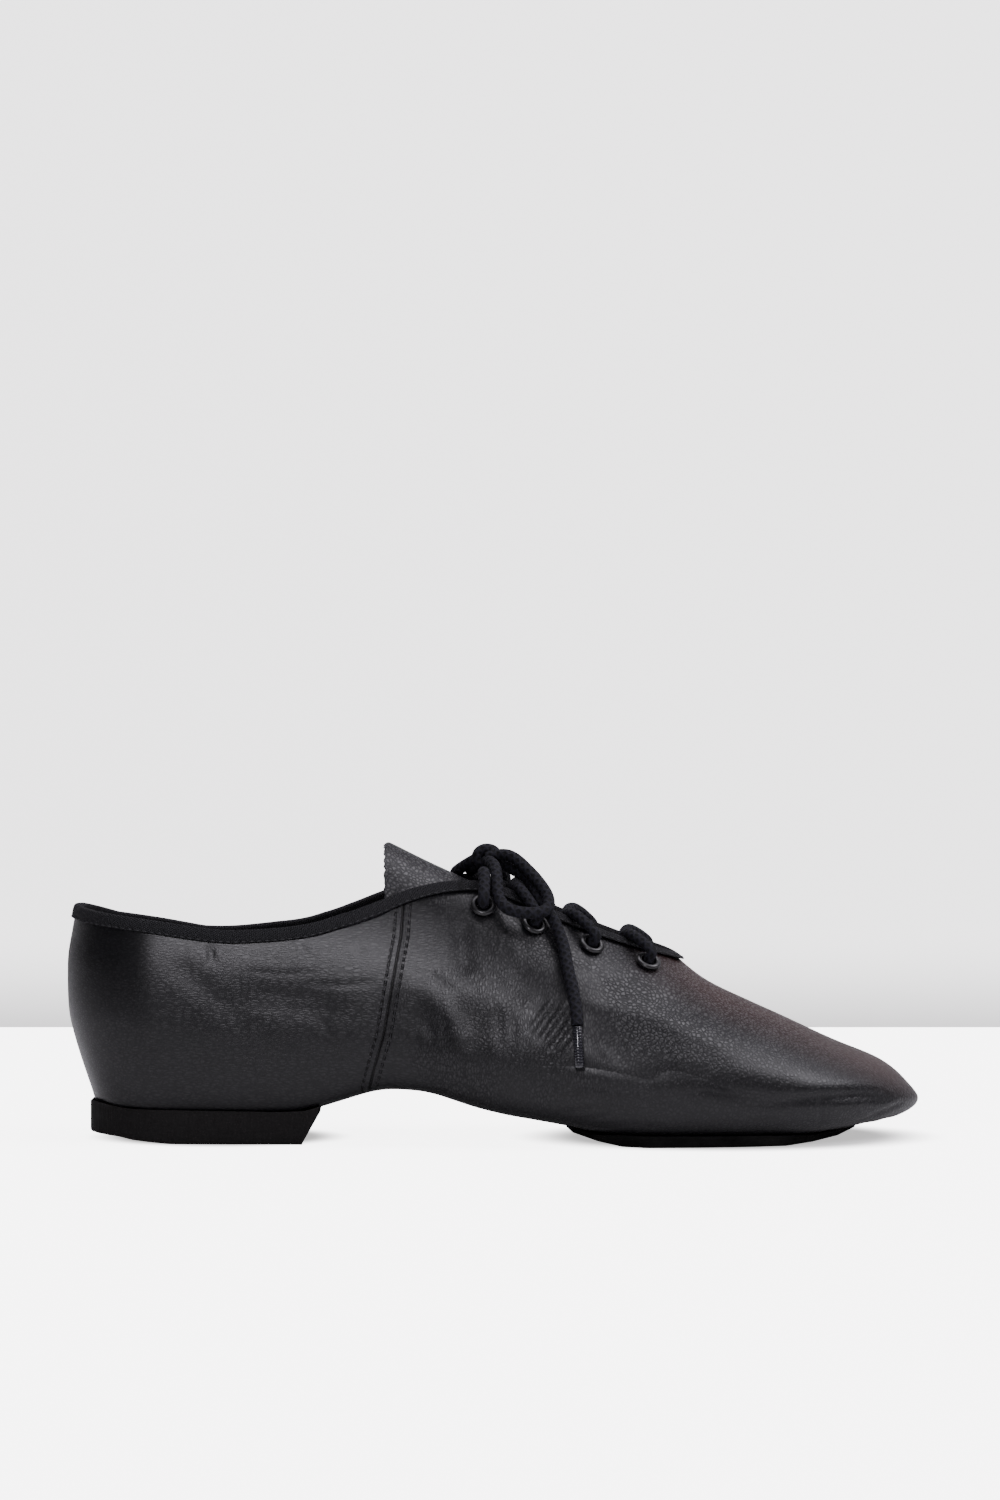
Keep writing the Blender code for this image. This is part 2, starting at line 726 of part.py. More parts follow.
def tube_mesh(name, points, width, material, collection):
    """The same tube as a closed mesh, for a join."""
    tube = make_tube(name + "_path", points, width, material, collection)
    graph = bpy.context.evaluated_depsgraph_get()
    mesh = bpy.data.meshes.new_from_object(tube.evaluated_get(graph))
    bm = bmesh.new()
    bm.from_mesh(mesh)
    bmesh.ops.remove_doubles(bm, verts=bm.verts, dist=1e-6)
    bm.to_mesh(mesh)
    bm.free()
    bpy.data.objects.remove(tube, do_unlink=True)
    made = bpy.data.objects.new(name, mesh)
    collection.objects.link(made)
    return made


def edge_frame(at, side):
    """(point, direction out of the edge, outward normal) on the throat's edge."""
    point = edge_point(at, side)
    up = (point - side_point(at, side, 0.95)).normalized()
    return point, up, side_normal(at, side, 0.97)


def lace_path(start, end, side, lift):
    """A strand out of one eyelet, over its edge, across, and under the far edge."""
    half = LACE / 2
    over = GAP + BINDING_THICKNESS + GAP + half
    under = WALL + over
    at_start, at_end = EYELET_STATIONS[start], EYELET_STATIONS[end]
    place, normal = eyelet_frame(start, side)
    edge, up, out = edge_frame(at_start + (at_end - at_start) * 0.3, side)
    far_edge, far_up, far_out = edge_frame(at_start + (at_end - at_start) * 0.72, -side)
    far_place, far_normal = eyelet_frame(end, -side)
    top = EYELET_SEAT + EYELET_FLANGE + 2 * GAP
    foot = WALL + EYELET_SEAT + EYELET_METAL + 2 * GAP
    at_middle = (at_start + at_end) / 2
    ridge = tongue_point(at_middle, 0.0)
    return [
        place + normal * top,
        place + normal * (top + 0.7 * LACE) + up * 0.3 * LACE,
        edge - up * BINDING_WIDTH * 0.5 + out * (over + 0.25 * LACE),
        edge + up * 0.7 * over + out * 0.75 * over,
        Vector((ridge.x, centre(at_middle), ridge.z + GAP + half + lift)),
        far_edge - far_up * half - far_out * (under + 0.2 * LACE),
        far_place - far_normal * (foot + 0.75 * LACE) + far_up * 0.5 * LACE,
        far_place - far_normal * foot,
    ]


def make_crossings(material, collection, cutters):
    """Each crossing is two strands joined where they meet over the tongue."""
    last = len(EYELET_STATIONS) - 1
    spacing = 1.6 * LACE
    for start in range(last, 0, -1):
        over = curve_through(lace_path(start, start - 1, -1, 0.55 * LACE), spacing)
        below = curve_through(lace_path(start, start - 1, 1, 0.35 * LACE), spacing)
        name = f"lace_crossing_{start}"
        made = tube_mesh(name, over, LACE, material, collection)
        other = tube_mesh(name + "_below", below, LACE, material, cutters)
        other.hide_render = True
        other.display_type = "WIRE"
        join = made.modifiers.new("join", "BOOLEAN")
        join.operation = "UNION"
        join.object = other
    foot = WALL + EYELET_SEAT + EYELET_METAL + 2 * GAP
    points = []
    at = EYELET_STATIONS[last]
    for side in SIDES:
        place, normal = eyelet_frame(last, side)
        edge, up, out = edge_frame(at, side)
        half_way = [
            place - normal * foot,
            place - normal * (foot + 0.8 * LACE) + up * 0.3 * LACE,
            edge - up * LACE - out * (WALL + 3 * GAP + BINDING_THICKNESS + 0.6 * LACE),
        ]
        points += half_way if side < 0 else half_way[::-1]
    ridge = tongue_point(at, 0.0)
    points.insert(3, Vector((ridge.x, centre(at), ridge.z + GAP + 0.55 * LACE)))
    make_tube("lace_bar", curve_through(points, spacing), LACE, material, collection)


def make_bow(material, tip_material, collection):
    """The free cord: two leads, the knot, two loops, and two ends with their hard tips."""
    knot = bmesh.new()
    size = Matrix.Diagonal((*KNOT_SIZE, 1))
    bmesh.ops.create_uvsphere(
        knot,
        u_segments=12,
        v_segments=8,
        radius=0.5,
        matrix=Matrix.Translation(KNOT_PLACE) @ size,
    )
    new_object("lace_knot", mesh_from(knot, "lace_knot"), material, collection)
    loops, ends = (LOOP_OUTER, LOOP_INNER), (END_OUTER, END_INNER)
    for number, side in enumerate(SIDES):
        word = "outer" if side < 0 else "inner"
        lead = lace_path(0, 0, side, 0.0)[:4] + [Vector(LEAD_ENDS[number])]
        for name, route, spacing in (
            ("lead", lead, 1.5 * LACE),
            ("loop", loops[number], 1.3 * LACE),
            ("end", ends[number], 2.0 * LACE),
        ):
            points = curve_through(route, spacing)
            make_tube(f"lace_{name}_{word}", points, LACE, material, collection)
        last = Vector(ends[number][-1])
        foot = Vector(TIP_ENDS[number])
        start = last + (foot - last).normalized() * 2 * GAP
        make_tube(f"lace_tip_{word}", [start, foot], TIP_WIDTH, tip_material, collection)


def principled(name, colour, roughness, metallic=0.0):
    material = bpy.data.materials.new(name)
    material.use_nodes = True
    shader = material.node_tree.nodes["Principled BSDF"]
    shader.inputs["Base Color"].default_value = (*colour, 1)
    shader.inputs["Roughness"].default_value = roughness
    shader.inputs["Metallic"].default_value = metallic
    material.diffuse_color = (*colour, 1)
    return material


def clear_scene():
    for left in list(bpy.data.objects):
        bpy.data.objects.remove(left, do_unlink=True)


def main():
    clear_scene()
    shoe = bpy.data.collections.new("jazz_shoe")
    cutters = bpy.data.collections.new("cutters")
    for group in (shoe, cutters):
        bpy.context.scene.collection.children.link(group)
    upper, tree = make_upper(principled("upper_leather", (0.020, 0.020, 0.022), 0.42), shoe)
    make_sole(tree, principled("sole_suede", (0.018, 0.017, 0.017), 0.90), shoe)
    make_heel(tree, principled("heel_rubber", (0.012, 0.012, 0.012), 0.80), shoe)
    make_insole(principled("insole_fabric", (0.030, 0.030, 0.032), 0.85), shoe)
    make_tongue(principled("tongue_leather", (0.028, 0.027, 0.028), 0.50), shoe)
    make_binding(principled("binding_tape", (0.010, 0.010, 0.013), 0.85), shoe)
    make_eyelets(upper, principled("eyelet_metal", (0.015, 0.015, 0.015), 0.35, 0.3), shoe, cutters)
    lace = principled("lace_cord", (0.010, 0.010, 0.014), 0.85)
    make_crossings(lace, shoe, cutters)
    make_bow(lace, principled("lace_tip", (0.030, 0.030, 0.035), 0.25), shoe)


main()
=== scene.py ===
"""A soft split-sole jazz shoe in black leather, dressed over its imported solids."""

import math

import bmesh
import bpy
import numpy as np
from bpy.props import FloatProperty, FloatVectorProperty
from mathutils import Matrix, Vector
from mathutils.bvhtree import BVHTree


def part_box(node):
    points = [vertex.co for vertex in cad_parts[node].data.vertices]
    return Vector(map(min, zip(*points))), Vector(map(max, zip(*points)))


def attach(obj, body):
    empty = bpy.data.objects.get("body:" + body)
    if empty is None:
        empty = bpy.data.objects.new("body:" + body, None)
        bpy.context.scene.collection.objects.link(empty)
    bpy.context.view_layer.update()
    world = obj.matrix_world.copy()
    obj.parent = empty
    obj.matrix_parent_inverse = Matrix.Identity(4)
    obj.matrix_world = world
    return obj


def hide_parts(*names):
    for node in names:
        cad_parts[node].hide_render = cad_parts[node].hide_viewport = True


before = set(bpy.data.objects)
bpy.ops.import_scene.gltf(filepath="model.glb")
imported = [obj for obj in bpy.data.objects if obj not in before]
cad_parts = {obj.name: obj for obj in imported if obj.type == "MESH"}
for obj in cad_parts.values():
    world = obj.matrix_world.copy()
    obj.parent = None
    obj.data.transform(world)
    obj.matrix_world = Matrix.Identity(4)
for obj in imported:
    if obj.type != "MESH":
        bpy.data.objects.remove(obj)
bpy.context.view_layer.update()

bl_info = {
    "name": "Jazz shoe",
    "version": (1, 0, 0),
    "blender": (4, 5, 0),
    "location": "View3D > Sidebar > Jazz shoe",
    "description": "Leather, seams, binding, lacing and bow of a split-sole jazz shoe",
    "category": "Add Mesh",
}

MM = 0.001
SIDES = (("outer", -1), ("inner", 1))  # the outer side of the foot faces -Y
TURN = 2 * math.pi
WALL = 1.2 * MM  # the upper's leather
HOLE = 5.4 * MM  # the leather's holes under the eyelets
HOLE_REACH = 3.6 * MM  # a hole's edge lies within this of its eyelet's centre
CORD_STEP = 0.8 * MM  # from one ring of the bow's cord to the next
TIP_RADIUS = 1.45 * MM
TAPE_HEIGHT = 0.84  # what the eased binding keeps of its solid's height
TAPE_ROW_DOWN, TAPE_ROW_OUT = 3.3 * MM, 1.6 * MM  # the binding's stitches, from the leather's edge
BACKDROP = 0.384  # how far the wall stands behind the shoe's middle, in metres
SHARP = math.radians(35)  # edges of the heel and the patch that stay edges

# Studio lights, in metres: name, place, aim, width, height, and share of the key power
LIGHTS = (
    ("overhead", (0.15, 0.22, 1.40), (0.08, -0.05, 0.03), 1.7, 1.3, 1.15),
    ("front", (-0.13, -1.60, 0.76), (0.00, 0, 0.03), 0.32, 0.32, 0.34),
    ("upper", (0.16, -1.25, 1.08), (0.08, 0, 0.03), 0.35, 0.20, 0.11),
    ("right", (1.30, -0.30, 1.20), (0.10, 0, 0.03), 0.9, 0.9, 0.75),
    ("behind", (-0.10, 1.70, 0.80), (0.06, 0, 0.03), 1.2, 0.5, 0.15),
)

# The bow's cord, in mm: its solids' points, with the inner lead and loop laid further back and lower
LEADS = {
    "outer": (
        (76.6, -24.3, 72.1), (76.7, -25.4, 74.1), (76.9, -20.4, 79.0), (76.7, -16.5, 80.7),
        (76.6, -6.5, 79.9),
    ),
    "inner": (
        (76.6, 18.1, 72.1), (75.7, 19.0, 74.5), (73.4, 14.5, 78.3), (72.6, 10.0, 80.2), (74.2, 2.0, 81.2),
    ),
}
LOOPS = {
    "outer": (
        (82.4, -7.4, 85.4), (85.7, -9.6, 84.6), (89.4, -13.0, 81.6), (93.1, -16.8, 77.8),
        (95.8, -21.2, 73.7), (95.5, -25.2, 70.5), (92.0, -27.8, 69.4), (87.0, -27.7, 69.7),
        (83.0, -26.2, 71.1), (81.0, -23.0, 74.4), (80.6, -19.4, 78.3), (80.1, -14.5, 81.8),
        (78.9, -10.0, 83.2),
    ),
    "inner": (
        (74.0, 0.6, 83.4), (70.1, 5.6, 80.8), (68.2, 11.5, 78.8), (67.5, 16.6, 75.8), (68.7, 19.4, 72.6),
        (72.0, 21.4, 70.2), (77.0, 22.4, 69.2), (81.0, 21.6, 70.6), (83.0, 19.2, 75.0), (82.4, 14.6, 79.6),
        (80.6, 9.0, 83.0), (79.0, 3.0, 84.4),
    ),
}
ENDS = {
    "outer": (
        (82.5, -4.0, 82.6), (85.9, -7.6, 80.8), (90.4, -11.6, 78.0), (93.6, -18.0, 72.4),
        (97.6, -22.1, 66.5), (100.1, -26.5, 60.3), (101.6, -31.9, 53.5), (103.1, -36.0, 47.2),
        (104.1, -39.5, 40.9), (104.3, -41.1, 37.1),
    ),
    "inner": (
        (82.2, -0.3, 83.1), (85.6, 2.6, 82.2), (89.7, 7.3, 79.9), (93.3, 12.2, 75.1), (96.8, 16.6, 67.7),
        (99.2, 21.7, 61.0), (100.6, 26.8, 54.1), (101.9, 31.1, 47.5), (103.0, 34.4, 41.1),
        (103.5, 36.1, 37.2),
    ),
}
TIPS = {"outer": (104.9, -44.0, 24.5), "inner": (104.3, 39.5, 24.5)}
KNOT = Vector((0.0776, -0.0030, 0.0845))

# Each side's strands from the lowest eyelet pair up, mm: over the edge, across, and down to the next
CROSSINGS = {
    "outer": (
        ((126.5, -18.8, 57.6), (122.4, -14.3, 60.9), (119.5, -9.0, 61.7), (117.0, -1.5, 59.2),
         (111.7, 7.7, 57.8), (107.1, 11.8, 56.2)),
        ((109.6, 17.7, 62.7), (105.3, 12.7, 67.2), (102.3, 7.6, 68.2), (99.9, -2.6, 65.6),
         (94.4, -13.5, 64.8), (89.6, -17.7, 62.9)),
        ((92.7, -24.3, 68.6), (88.8, -19.6, 74.4), (86.6, -14.4, 76.2), (83.9, -3.0, 75.1),
         (79.3, 8.3, 72.6), (76.2, 11.5, 69.0)),
    ),
    "inner": (
        ((126.1, 17.2, 57.6), (122.2, 11.9, 60.9), (119.4, 6.8, 61.7), (117.0, -1.5, 57.8),
         (111.5, -11.3, 57.9), (106.8, -16.1, 56.2)),
        ((109.9, -21.8, 62.6), (105.4, -17.5, 67.1), (102.4, -12.2, 68.1), (99.9, -2.6, 66.5),
         (94.6, 8.0, 64.8), (89.8, 12.0, 62.9)),
        ((92.6, 18.7, 68.6), (88.8, 13.7, 74.4), (86.6, 8.6, 76.2), (83.9, -3.0, 73.8), (79.2, -14.4, 72.7),
         (76.2, -17.7, 69.0)),
    ),
}
BAR = (
    (124.7, -16.2, 51.7), (123.9, -12.6, 51.5), (124.4, -8.2, 53.4), (125.2, -3.3, 53.9),
    (125.3, 1.7, 53.8), (124.6, 6.5, 53.4), (124.3, 10.9, 51.4), (125.0, 14.5, 51.7),
)

# The butted side seam in side view, and how far its two stitched rows stand from it, mm
SEAM = ((52.7, 71.6), (52.1, 62.6), (50.6, 54.5), (48.6, 43.1), (47.1, 34.1), (44.6, 25.1), (42.6, 17.0))
SEAM_ROW = 2.1

# Creases in side view, mm: half width, depth (a ridge is above 0), and x, z of points from end to end
CREASES = {
    "quarter": (
        (4.6, -0.20, -16.0, 54.5, -8.5, 49.1, 0.5, 41.6, 11.6, 31.1),
        (1.1, -0.13, -6.0, 59.9, -4.2, 57.2, -2.8, 53.9),
        (1.1, -0.11, -3.6, 60.2, -4.5, 56.3, -5.5, 53.0),
        (1.6, -0.18, 29.1, 37.7, 32.4, 30.5, 32.1, 23.3),
        (1.3, -0.07, 6.5, 52.2, 15.0, 51.2, 27.0, 51.6),
        (1.4, -0.09, 22.1, 48.9, 33.6, 47.9, 44.4, 48.9),
        (1.4, -0.07, 8.5, 46.4, 19.9, 44.9, 30.4, 44.8),
        (1.5, -0.10, 20.4, 61.1, 23.4, 57.8, 25.6, 54.9),
        (6.0, -0.30, 1.1, 44.6, 18.6, 43.1, 36.6, 39.3),
    ),
    "waist": (
        (4.6, 0.50, 61.1, 45.2, 66.5, 37.7, 71.9, 28.7, 77.3, 18.5),
        (4.2, -0.45, 70.9, 32.6, 75.5, 25.1, 80.8, 17.3),
        (5.2, -0.50, 52.7, 32.3, 56.9, 24.5, 62.4, 17.3),
        (9.5, -0.50, 46.0, 41.0, 60.1, 37.5, 70.9, 36.0, 80.1, 37.0, 92.0, 35.0),
        (1.4, -0.12, 55.1, 52.1, 61.1, 51.2, 67.2, 47.9),
        (1.3, -0.10, 53.9, 49.7, 62.4, 48.8, 68.9, 46.1),
        (1.4, -0.12, 60.2, 37.7, 60.9, 32.9, 61.1, 27.5),
        (1.5, -0.13, 63.9, 42.2, 65.1, 36.5, 65.9, 30.5),
        (1.8, -0.14, 80.9, 41.3, 81.5, 35.3, 82.1, 28.7),
        (1.8, -0.12, 85.1, 39.5, 85.1, 32.9, 83.9, 25.7),
        (4.2, -0.42, 69.2, 66.5, 70.4, 59.3, 71.9, 51.5),
        (3.4, 0.25, 83.0, 64.1, 85.1, 57.5, 86.9, 50.9),
        (1.6, -0.18, 73.8, 69.5, 77.9, 64.1, 79.8, 57.5),
    ),
    "ball": (
        (1.0, -0.50, 93.2, 32.3, 97.1, 37.7, 101.3, 43.1),
        (1.0, -0.50, 96.1, 29.6, 100.0, 34.7, 103.8, 40.3),
        (1.0, -0.42, 90.3, 35.0, 93.8, 39.6, 97.6, 45.0),
        (1.0, -0.40, 99.2, 27.2, 102.8, 31.8, 106.4, 37.0),
        (1.0, -0.20, 109.8, 31.1, 112.8, 28.7, 116.3, 26.9),
        (1.0, -0.12, 111.5, 28.1, 115.1, 26.3, 118.8, 25.4),
        (1.3, -0.34, 99.5, 10.7, 110.9, 12.8, 123.5, 11.9, 130.8, 9.8),
        (1.1, -0.26, 104.9, 8.9, 115.1, 10.4, 127.1, 8.9),
        (1.0, -0.22, 110.3, 6.8, 119.9, 7.7, 129.5, 6.8),
        (8.5, -0.80, 90.0, 24.0, 106.0, 21.5, 124.5, 17.8, 143.0, 15.5),
        (4.0, 0.35, 100.9, 14.5, 112.9, 16.2, 126.0, 14.5),
        (5.0, 0.75, 104.9, 41.5, 116.9, 40.7, 129.5, 37.5, 141.5, 33.7, 152.0, 29.0),
        (1.5, -0.18, 113.3, 47.6, 118.1, 44.3, 120.5, 39.5),
    ),
    "toe": (
        (4.0, -0.55, 127.5, 24.5, 139.1, 20.5, 151.9, 16.2, 163.5, 13.2),
        (5.2, 0.40, 148.5, 26.0, 160.5, 22.5, 172.5, 20.5, 184.5, 19.8, 196.0, 17.5),
        (2.4, -0.56, 158.1, 13.6, 176.3, 14.8, 188.3, 14.8, 199.1, 13.4),
        (2.8, 0.20, 160.3, 10.2, 176.3, 11.5, 188.9, 11.2, 200.3, 10.4),
        (0.7, -0.45, 176.9, 14.0, 176.6, 10.7, 177.2, 6.8),
        (0.6, -0.30, 178.4, 13.7, 178.8, 10.4, 178.1, 7.1),
        (1.0, -0.32, 191.9, 8.3, 197.3, 9.8, 202.1, 11.3),
        (0.9, -0.26, 186.5, 6.5, 191.9, 7.7, 196.7, 9.2),
        (1.0, -0.24, 182.9, 29.3, 187.1, 27.2, 191.9, 24.5),
        (0.9, -0.22, 186.5, 30.5, 190.7, 28.1, 195.5, 24.5),
        (1.4, -0.14, 154.1, 38.3, 160.8, 34.7, 167.3, 31.7),
    ),
}


def amount(name, description, default, unit="NONE"):
    return FloatProperty(name=name, description=description, default=default, unit=unit)


def paint(name, description, *default):
    return FloatVectorProperty(name=name, description=description, default=default, subtype="COLOR")


class ShoeSizes(bpy.types.PropertyGroup):
    """Sizes of the cord, the stitches and the creases"""

    lace_width: amount("Lace width", "Width of the soft round lace", 3.6 * MM, "LENGTH")
    stitch_pitch: amount("Stitch pitch", "From one stitch to the next", 2.3 * MM, "LENGTH")
    thread_width: amount("Thread width", "Width of the sewing thread", 0.46 * MM, "LENGTH")
    crease_depth: amount("Crease depth", "Share of each crease's own depth", 1.0)
    grain_size: amount("Grain size", "Width of one cell of the leather's grain", 1.20 * MM, "LENGTH")


class ShoeColours(bpy.types.PropertyGroup):
    """Base colours of the shoe's materials"""

    leather: paint("Leather", "The upper's face", 0.0082, 0.0080, 0.0094)
    lining: paint("Lining", "The upper's inside", 0.010, 0.010, 0.010)
    suede: paint("Suede", "The forefoot patch", 0.0085, 0.0080, 0.0080)
    rubber: paint("Rubber", "The heel block", 0.0064, 0.0052, 0.0052)
    tape: paint("Tape", "The woven binding", 0.0112, 0.0110, 0.0135)
    lace: paint("Lace", "The braided lace", 0.0056, 0.0055, 0.0088)


class StageLooks(bpy.types.PropertyGroup):
    """Floor, wall and studio light"""

    floor: paint("Floor", "The pale floor", 0.75, 0.75, 0.75)
    floor_glow: amount("Floor glow", "The floor's own light", 5.9)
    wall: paint("Wall", "The pale wall", 0.46, 0.46, 0.46)
    wall_glow: amount("Wall glow", "The wall's own light", 2.75)
    key_power: amount("Key power", "Power that every light is a share of", 19.0, "POWER")


class Wire:
    """A shader socket that takes part in sums."""

    def __init__(self, tree, socket):
        self.tree = tree
        self.socket = socket

    def sum_with(self, kind, *values):
        return node(self.tree, "Math", {"operation": kind}, dict(enumerate(values)))

    def __add__(self, other):
        return self.sum_with("ADD", self, other)

    def __sub__(self, other):
        return self.sum_with("SUBTRACT", self, other)

    def __rsub__(self, other):
        return self.sum_with("SUBTRACT", other, self)

    def __mul__(self, other):
        return self.sum_with("MULTIPLY", self, other)

    def __pow__(self, other):
        return self.sum_with("POWER", self, other)

    __radd__ = __add__
    __rmul__ = __mul__

    def over(self, other):
        return self.sum_with("MAXIMUM", self, other)

    def sine(self):
        return self.sum_with("SINE", self)

    def size(self):
        return self.sum_with("ABSOLUTE", self)

    def between(self, low, high):
        """0 below low, 1 above high, and a smooth step from one to the other."""
        settings = {"interpolation_type": "SMOOTHSTEP"}
        values = {"Value": self, "From Min": low, "From Max": high}
        return node(self.tree, "MapRange", settings, values, "Result")


def node(tree, kind, settings=None, values=None, out=0):
    """One shader node: its settings first, then its sockets, and a wire from one output."""
    made = tree.nodes.new("ShaderNode" + kind)
    for key, value in (settings or {}).items():
        setattr(made, key, value)
    for key, value in (values or {}).items():
        if isinstance(value, Wire):
            tree.links.new(value.socket, made.inputs[key])
        else:
            made.inputs[key].default_value = value
    return Wire(tree, made.outputs[out])


def blend_colours(tree, share, low, high):
    """The low colour where the share is 0, the high one where it is 1."""
    mix = tree.nodes.new("ShaderNodeMix")
    mix.data_type = "RGBA"
    for socket, value in zip((mix.inputs["Factor"], mix.inputs[6], mix.inputs[7]), (share, low, high)):
        if isinstance(value, Wire):
            tree.links.new(value.socket, socket)
        else:
            socket.default_value = value
    return Wire(tree, mix.outputs[2])


def tint(colour, share):
    """The colour made lighter or darker, with its alpha."""
    return (*(channel * share for channel in colour), 1)


def material(name, colour, roughness, **constants):
    """A material, its node tree and its Principled shader."""
    made = bpy.data.materials.new(name)
    made.use_nodes = True
    tree = made.node_tree
    shader = tree.nodes["Principled BSDF"]
    shader.inputs["Base Color"].default_value = tint(colour, 1)
    shader.inputs["Roughness"].default_value = roughness
    for key, value in constants.items():
        shader.inputs[key.replace("_", " ").title().replace("Ior", "IOR")].default_value = value
    made.diffuse_color = tint(colour, 1)
    return made, tree, shader


def feed(tree, shader, **wires):
    for key, wire in wires.items():
        tree.links.new(wire.socket, shader.inputs[key.replace("_", " ").title()])


def blend_tints(tree, share, colour, low, high):
    return blend_colours(tree, share, tint(colour, low), tint(colour, high))


def bump(tree, height, distance):
    return node(tree, "Bump", {}, {"Height": height, "Distance": distance})


def place(tree, scale=(1, 1, 1), shift=0.0):
    """Object coordinates, scaled, and stirred by a little noise."""
    raw = node(tree, "TexCoord", {}, {}, "Object")
    if shift:
        cloud = node(tree, "TexNoise", {}, {"Vector": raw, "Scale": 260.0, "Detail": 1.0}, "Color")
        stir = node(tree, "VectorMath", {"operation": "SCALE"}, {0: cloud, "Scale": shift})
        raw = node(tree, "VectorMath", {"operation": "ADD"}, {0: raw, 1: stir})
    return node(tree, "Mapping", {}, {"Vector": raw, "Scale": scale})


def noise(tree, scale, detail, stretch=(1, 1, 1)):
    values = {"Vector": place(tree, stretch), "Scale": scale, "Detail": detail}
    return node(tree, "TexNoise", {}, values, "Fac")


def attribute(tree, name):
    return node(tree, "Attribute", {"attribute_name": name}, {}, "Fac")


def axes(tree, vector):
    split = tree.nodes.new("ShaderNodeSeparateXYZ")
    tree.links.new(vector.socket, split.inputs[0])
    return [Wire(tree, output) for output in split.outputs]


def grain(tree, sizes, stretch):
    """Pebbles of the leather's grain, 0 in the furrows and 1 on top."""
    spot = place(tree, stretch, 0.9 * MM)
    settings = {"feature": "DISTANCE_TO_EDGE"}
    values = {"Vector": spot, "Scale": 1 / sizes.grain_size}
    return node(tree, "TexVoronoi", settings, values, "Distance").between(0.0, 0.36)


def leather_finish(colours, sizes):
    """Black leather: pebbled vamp, drawn quarter, finely wrinkled waist, the seam with its rows, and a
    painted warm reflection along the vamp's top.
    """
    made, tree, shader = material(
        "black_leather", colours.leather, 0.40, specular_ior_level=0.26, coat_roughness=0.35
    )
    x, _, z = axes(tree, place(tree))
    pebble = grain(tree, sizes, (1, 1, 1))
    drawn = grain(tree, sizes, (0.50, 1.1, 1.55))
    slanted = grain(tree, sizes, (1.5, 0.8, 0.62))
    patch = noise(tree, 42.0, 2.0)
    vamp = x.between(0.056, 0.100)
    low = 1 - z.between(0.016, 0.040)
    waist = x.between(0.044, 0.056) * (1 - x.between(0.105, 0.125)) * patch.between(0.42, 0.58)
    side = (1 - vamp) * 0.26
    height = pebble * vamp * 1.5 * (1 - waist) + drawn * side * (1 - waist) + slanted * waist * 0.4
    height = height * (1 - 0.55 * low) * (0.55 + 0.75 * patch)
    seam = attribute(tree, "seam_gap")
    along = attribute(tree, "seam_run")
    groove = 1 - seam.size().between(0.10 * MM, 0.55 * MM)
    roll = seam.between(0.35 * MM, 0.75 * MM) * (1 - seam.between(0.9 * MM, 1.5 * MM))
    dash = ((along * (TURN / sizes.stitch_pitch)).sine() * 0.5 + 0.5).between(0.15, 0.65)
    row = 1 - (seam.size() - SEAM_ROW * MM).size().between(0.22 * MM, 0.55 * MM)
    height = height - groove * 2.6 + roll * 0.9 - row * (0.5 + 0.9 * dash)
    relief = bump(tree, height, 0.13 * MM)
    wear = noise(tree, 85.0, 4.0)
    rough = 0.30 + 0.05 * wear + 0.06 * (1 - pebble) * vamp
    shade = blend_tints(tree, wear.between(0.35, 0.85), colours.leather, 0.85, 1.15)
    # Painted reflection: a warm reddish band along the vamp's top towards the toe, mixed into the base
    # colour.
    painted_warm_reflection = x.between(0.115, 0.150) * (z + x * 0.43).between(0.0975, 0.1110) * (0.5 + 0.5 * patch)
    shade = blend_colours(tree, painted_warm_reflection, shade, (0.066, 0.026, 0.023, 1))
    shade = blend_colours(tree, groove.over(row * dash * 0.8), shade, (0.0012, 0.0012, 0.0012, 1))
    gloss = 0.50 + (pebble - 0.5) * vamp * 1.10 * (1 - 0.8 * low) * (1 - waist)
    gloss = gloss + (drawn - 0.5) * (1 - vamp) * 0.30 + (slanted - 0.5) * waist * 0.60
    gloss = gloss * (1 - groove.over(row * dash))
    feed(tree, shader, base_color=shade, roughness=rough, coat_weight=gloss, normal=relief)
    return made


def suede_finish(name, colour, nap=0.5):
    """Napped suede: short fibres, mottled where it was brushed."""
    made, tree, shader = material(name, colour, 0.95, specular_ior_level=0.15)
    fibres = noise(tree, 2600.0, 3.0)
    brushed = noise(tree, 90.0, 4.0)
    shade = blend_tints(tree, brushed.between(0.3, 0.7), colour, 1 - nap, 1 + nap)
    feed(tree, shader, base_color=shade, normal=bump(tree, fibres + brushed * 0.6, 0.12 * MM))
    return made


def rubber_finish(colours):
    """Matt heel rubber with a fine upright grain and a few lighter specks."""
    made, tree, shader = material("heel_rubber", colours.rubber, 0.78, specular_ior_level=0.35)
    upright = noise(tree, 1.0, 2.0, (1500, 1500, 260))
    speck = noise(tree, 1900.0, 1.0)
    shade = blend_tints(tree, speck.between(0.60, 0.75), colours.rubber, 1, 2.4)
    relief = bump(tree, upright + speck * 0.6, 0.14 * MM)
    feed(tree, shader, base_color=shade, roughness=0.70 + 0.2 * upright, normal=relief)
    return made


def woven_finish(name, colour, pitch, ribs):
    """Narrow weave read from the piece's own UV: ribs across it and picks along it."""
    made, tree, shader = material(name, colour, 0.80, specular_ior_level=0.30)
    u, v, _ = axes(tree, node(tree, "TexCoord", {}, {}, "UV"))
    rise = (u * (TURN * ribs) + v * (TURN / pitch)).sine()
    fall = (u * (TURN * ribs) - v * (TURN / pitch)).sine()
    yarn = rise.over(fall)
    fuzz = noise(tree, 2400.0, 2.0)
    # Painted shade and highlight: the colour follows the weave's relief, darker in its hollows and lighter
    # on its raised yarns.
    shade = blend_tints(tree, yarn.between(-0.2, 1.0), colour, 0.30, 1.9)
    feed(tree, shader, base_color=shade, normal=bump(tree, yarn * 0.8 + fuzz * 0.7, 0.16 * MM))
    return made


